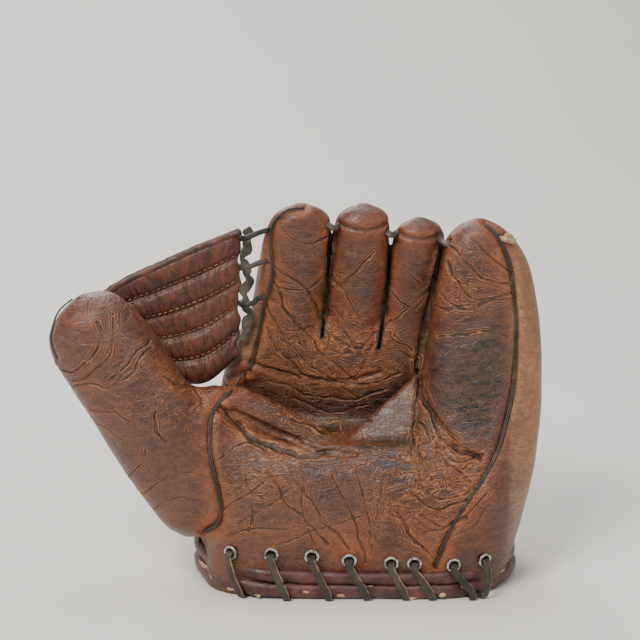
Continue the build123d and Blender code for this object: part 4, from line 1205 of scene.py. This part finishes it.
piece("web_back_skin", back_all, back_cells + side_cells, WEB_LOOK, "web",
      ["web_back_leather"], paint=paint_all, polish=np.full(len(back_all), 0.4))
top_line = smooth_rows(WEB_TOP, 70)
roll = np.column_stack([top_line[:, 0], web_base(top_line[:, 0]) - 0.6, top_line[:, 1] - 1.2])
points, faces = sweep(roll, oval(2.6, 2.4, 14), up=(0, -1, 0))
roll_look = leather_material("web_roll_hide", False, (0.035, 0.010, 0.008), (0.12, 0.035, 0.022), 0.9, 0.38)
piece("web_top_roll", lumpy(points, 0.5, 3.2, 113), faces, roll_look, "web")

threads = []
for r in range(1, WEB_RIBS):
    for offset in (-0.085, 0.085):
        level = (r + offset) / WEB_RIBS
        row = min(int(round(level * (ROWS - 1))), ROWS - 1)
        line = front_points.reshape(ROWS, COLS, 3)[row]
        bow = 0.55 * np.linspace(-1, 1, 7) ** 2 - 0.15
        threads += row_of_stitches(line, 4.0, 6, 4.1, 2.7, bow, oval(0.42, 0.36, 7), (0, -1, 0), flat=True)
swept_piece("web_stitches", threads, THREAD_LOOK, "web", ["web_stitching"])

# The raw right-hand edge strip: a thick scalloped ribbon
strip_v = np.linspace(0.0, 0.86, 90)
strip_x = -31.5 + 1.6 * np.sin(strip_v * 21) + 0.9 * np.sin(strip_v * 50)
strip_z = np.linspace(232, 158, 90)
strip_path = np.column_stack([strip_x, web_base(strip_x) - 1.2, strip_z])
wide = 2.7 + 0.45 * np.sin(strip_v * 44 + 1) + 0.35 * np.sin(strip_v * 19) + 0.3 * np.sin(strip_v * 83)
points, faces = sweep(strip_path, oval(1.0, 0.36, 14, 3.2), up=(0, -1, 0), taper=wide)
piece("web_raw_edge", lumpy(points, 0.5, 3, 121), faces, EDGE_LOOK, "web", ["web_edge_strip"])

WEB_LACES = [(228, 232, -14), (208.5, 212, -15), (184, 187, -20)]
ties = []
for z_web, z_index, x_index in WEB_LACES:
    run = [(-36, 5, z_web - 1), (-34.5, -2, z_web - 1), (-31, -5.5, z_web), (-26, -4.5, (z_web + z_index) / 2),
           (x_index - 5, -2.5, z_index), (x_index + 2, 2, z_index + 0.5)]
    ties.append(sweep(smooth_rows(run, 36), oval(1.75, 1.2, 14, 2.6), up=(0, -1, 0.15)))
swept_piece("web_lacing", ties, LACE_LOOK, ("fingers", "web", (-16, 0, 200), (-32, 0, 200)),
            ["web_laces"], worn=(0.25, 4, 123))

# ---- Wrist strap ----
strap_low = np.array(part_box("wrist_strap")[0]) / MM
strap_high = np.array(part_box("strap_root")[1]) / MM
fold_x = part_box("wrist_strap")[1][0] / MM
length, tall = strap_high[0] - strap_low[0], strap_high[2] - strap_low[2]
centre_z = (strap_low[2] + strap_high[2]) / 2
xs = np.linspace(strap_low[0] + 0.5, strap_high[0] - 0.5, 90)
end = np.minimum(xs - strap_low[0], strap_high[0] - xs)
half = np.where(end < tall / 2, np.sqrt(np.maximum(tall ** 2 / 4 - (tall / 2 - end) ** 2, 0.2)), tall / 2)
y_mid = (strap_low[1] + strap_high[1]) / 2
path = np.column_stack([xs, np.full(90, y_mid), np.full(90, centre_z)])
outline = oval(1.0, 1.0, 40, 2.6)
ring_points = []
for p, h in zip(path, half):
    ring = [np.full(len(outline), p[0]), p[1] + outline[:, 1] * 1.3, p[2] + outline[:, 0] * h]
    ring_points.append(np.column_stack(ring))
points = np.vstack(ring_points)
_, faces = sweep(path, outline)
piece("wrist_strap_leather", lumpy(points, 0.2, 8, 131), faces, STRAP_LOOK,
      ("palm", "strap", (fold_x + 3, 0, 0), (fold_x - 3, 0, 0)), ["wrist_strap", "strap_root"])
stitches = []
for side_z in (-1, 1):
    for x_start in np.arange(strap_low[0] + 13, fold_x - 4, 4.2):
        span = np.linspace(x_start, x_start + 2.8, 6)
        z_row = centre_z + side_z * (tall / 2 - 3)
        row = np.column_stack([span, y_mid + 1.35 - 0.3 * np.linspace(-1, 1, 6) ** 2, np.full(6, z_row)])
        stitches.append(sweep(row, oval(0.4, 0.35, 7), up=(0, 1, 0)))
swept_piece("wrist_strap_stitches", stitches, THREAD_LOOK, "strap")

# CAD metal stays as it is, with a finer material
for node in ("strap_rivet", "strap_stud"):
    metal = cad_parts[node]
    for place in metal.material_slots:
        place.material = BRASS_LOOK

# ---- Stage, light and camera ----
def floor_sheet():
    """A pale floor that curves up into a pale wall."""
    made, graph, shader = material("pale_floor")
    links = graph[1]
    tint = noise_node(graph, 3, 3, 0.5)
    pale = [(0.3, (0.72, 0.695, 0.66, 1)), (0.7, (0.76, 0.735, 0.70, 1))]
    links.new(ramp(graph, tint.outputs["Fac"], pale), shader.inputs["Base Color"])
    shader.inputs["Roughness"].default_value = 0.85
    profile = [(-7.0, 0)] + [(0.9 + 0.6 * math.sin(a), 0.6 - 0.6 * math.cos(a))
                             for a in np.linspace(0, math.pi / 2, 16)] + [(1.5, 2.6)]
    points = [(x, y, z) for x in (-6.0, 6.0) for y, z in profile]
    n = len(profile)
    mesh = bpy.data.meshes.new("studio_floor")
    mesh.from_pydata(points, [], [(i, i + n, i + n + 1, i + 1) for i in range(n - 1)])
    mesh.polygons.foreach_set("use_smooth", [True] * (n - 1))
    mesh.materials.append(made)
    sheet = bpy.data.objects.new("studio_floor", mesh)
    bpy.context.scene.collection.objects.link(sheet)


def area_light(name, place, target, size, power, colour=(1, 1, 1)):
    """A soft light that faces its target."""
    data = bpy.data.lights.new(name, "AREA")
    data.shape, data.size, data.energy, data.color = "DISK", size, power, colour
    lamp = bpy.data.objects.new(name, data)
    lamp.location = place
    lamp.rotation_euler = (Vector(target) - Vector(place)).to_track_quat("-Z", "Y").to_euler()
    bpy.context.scene.collection.objects.link(lamp)


floor_sheet()
area_light("key", (-0.60, -1.05, 1.45), (0, 0, 0.12), 0.75, 34, (1.0, 0.97, 0.93))
area_light("fill", (1.3, -1.1, 0.8), (0, 0, 0.12), 1.0, 7, (0.95, 0.97, 1.0))
area_light("top", (0.1, 0.3, 1.7), (0, 0, 0.12), 1.0, 12)
area_light("back", (-0.4, 1.3, 1.1), (0, 0, 0.1), 0.9, 13)
world = bpy.data.worlds.new("studio")
world.use_nodes = True
world.node_tree.nodes["Background"].inputs["Color"].default_value = (1.0, 0.985, 0.96, 1)
world.node_tree.nodes["Background"].inputs["Strength"].default_value = 0.33
bpy.context.scene.world = world

lens = bpy.data.cameras.new("camera")
lens.lens, lens.sensor_width = 103.85, 36
camera = bpy.data.objects.new("camera", lens)
camera.location = (0.01625, -1.15911, 0.48284)
camera.rotation_euler = (Vector((0.01625, 0, 0.17226)) - camera.location).to_track_quat("-Z", "Y").to_euler()
bpy.context.scene.collection.objects.link(camera)
bpy.context.scene.camera = camera
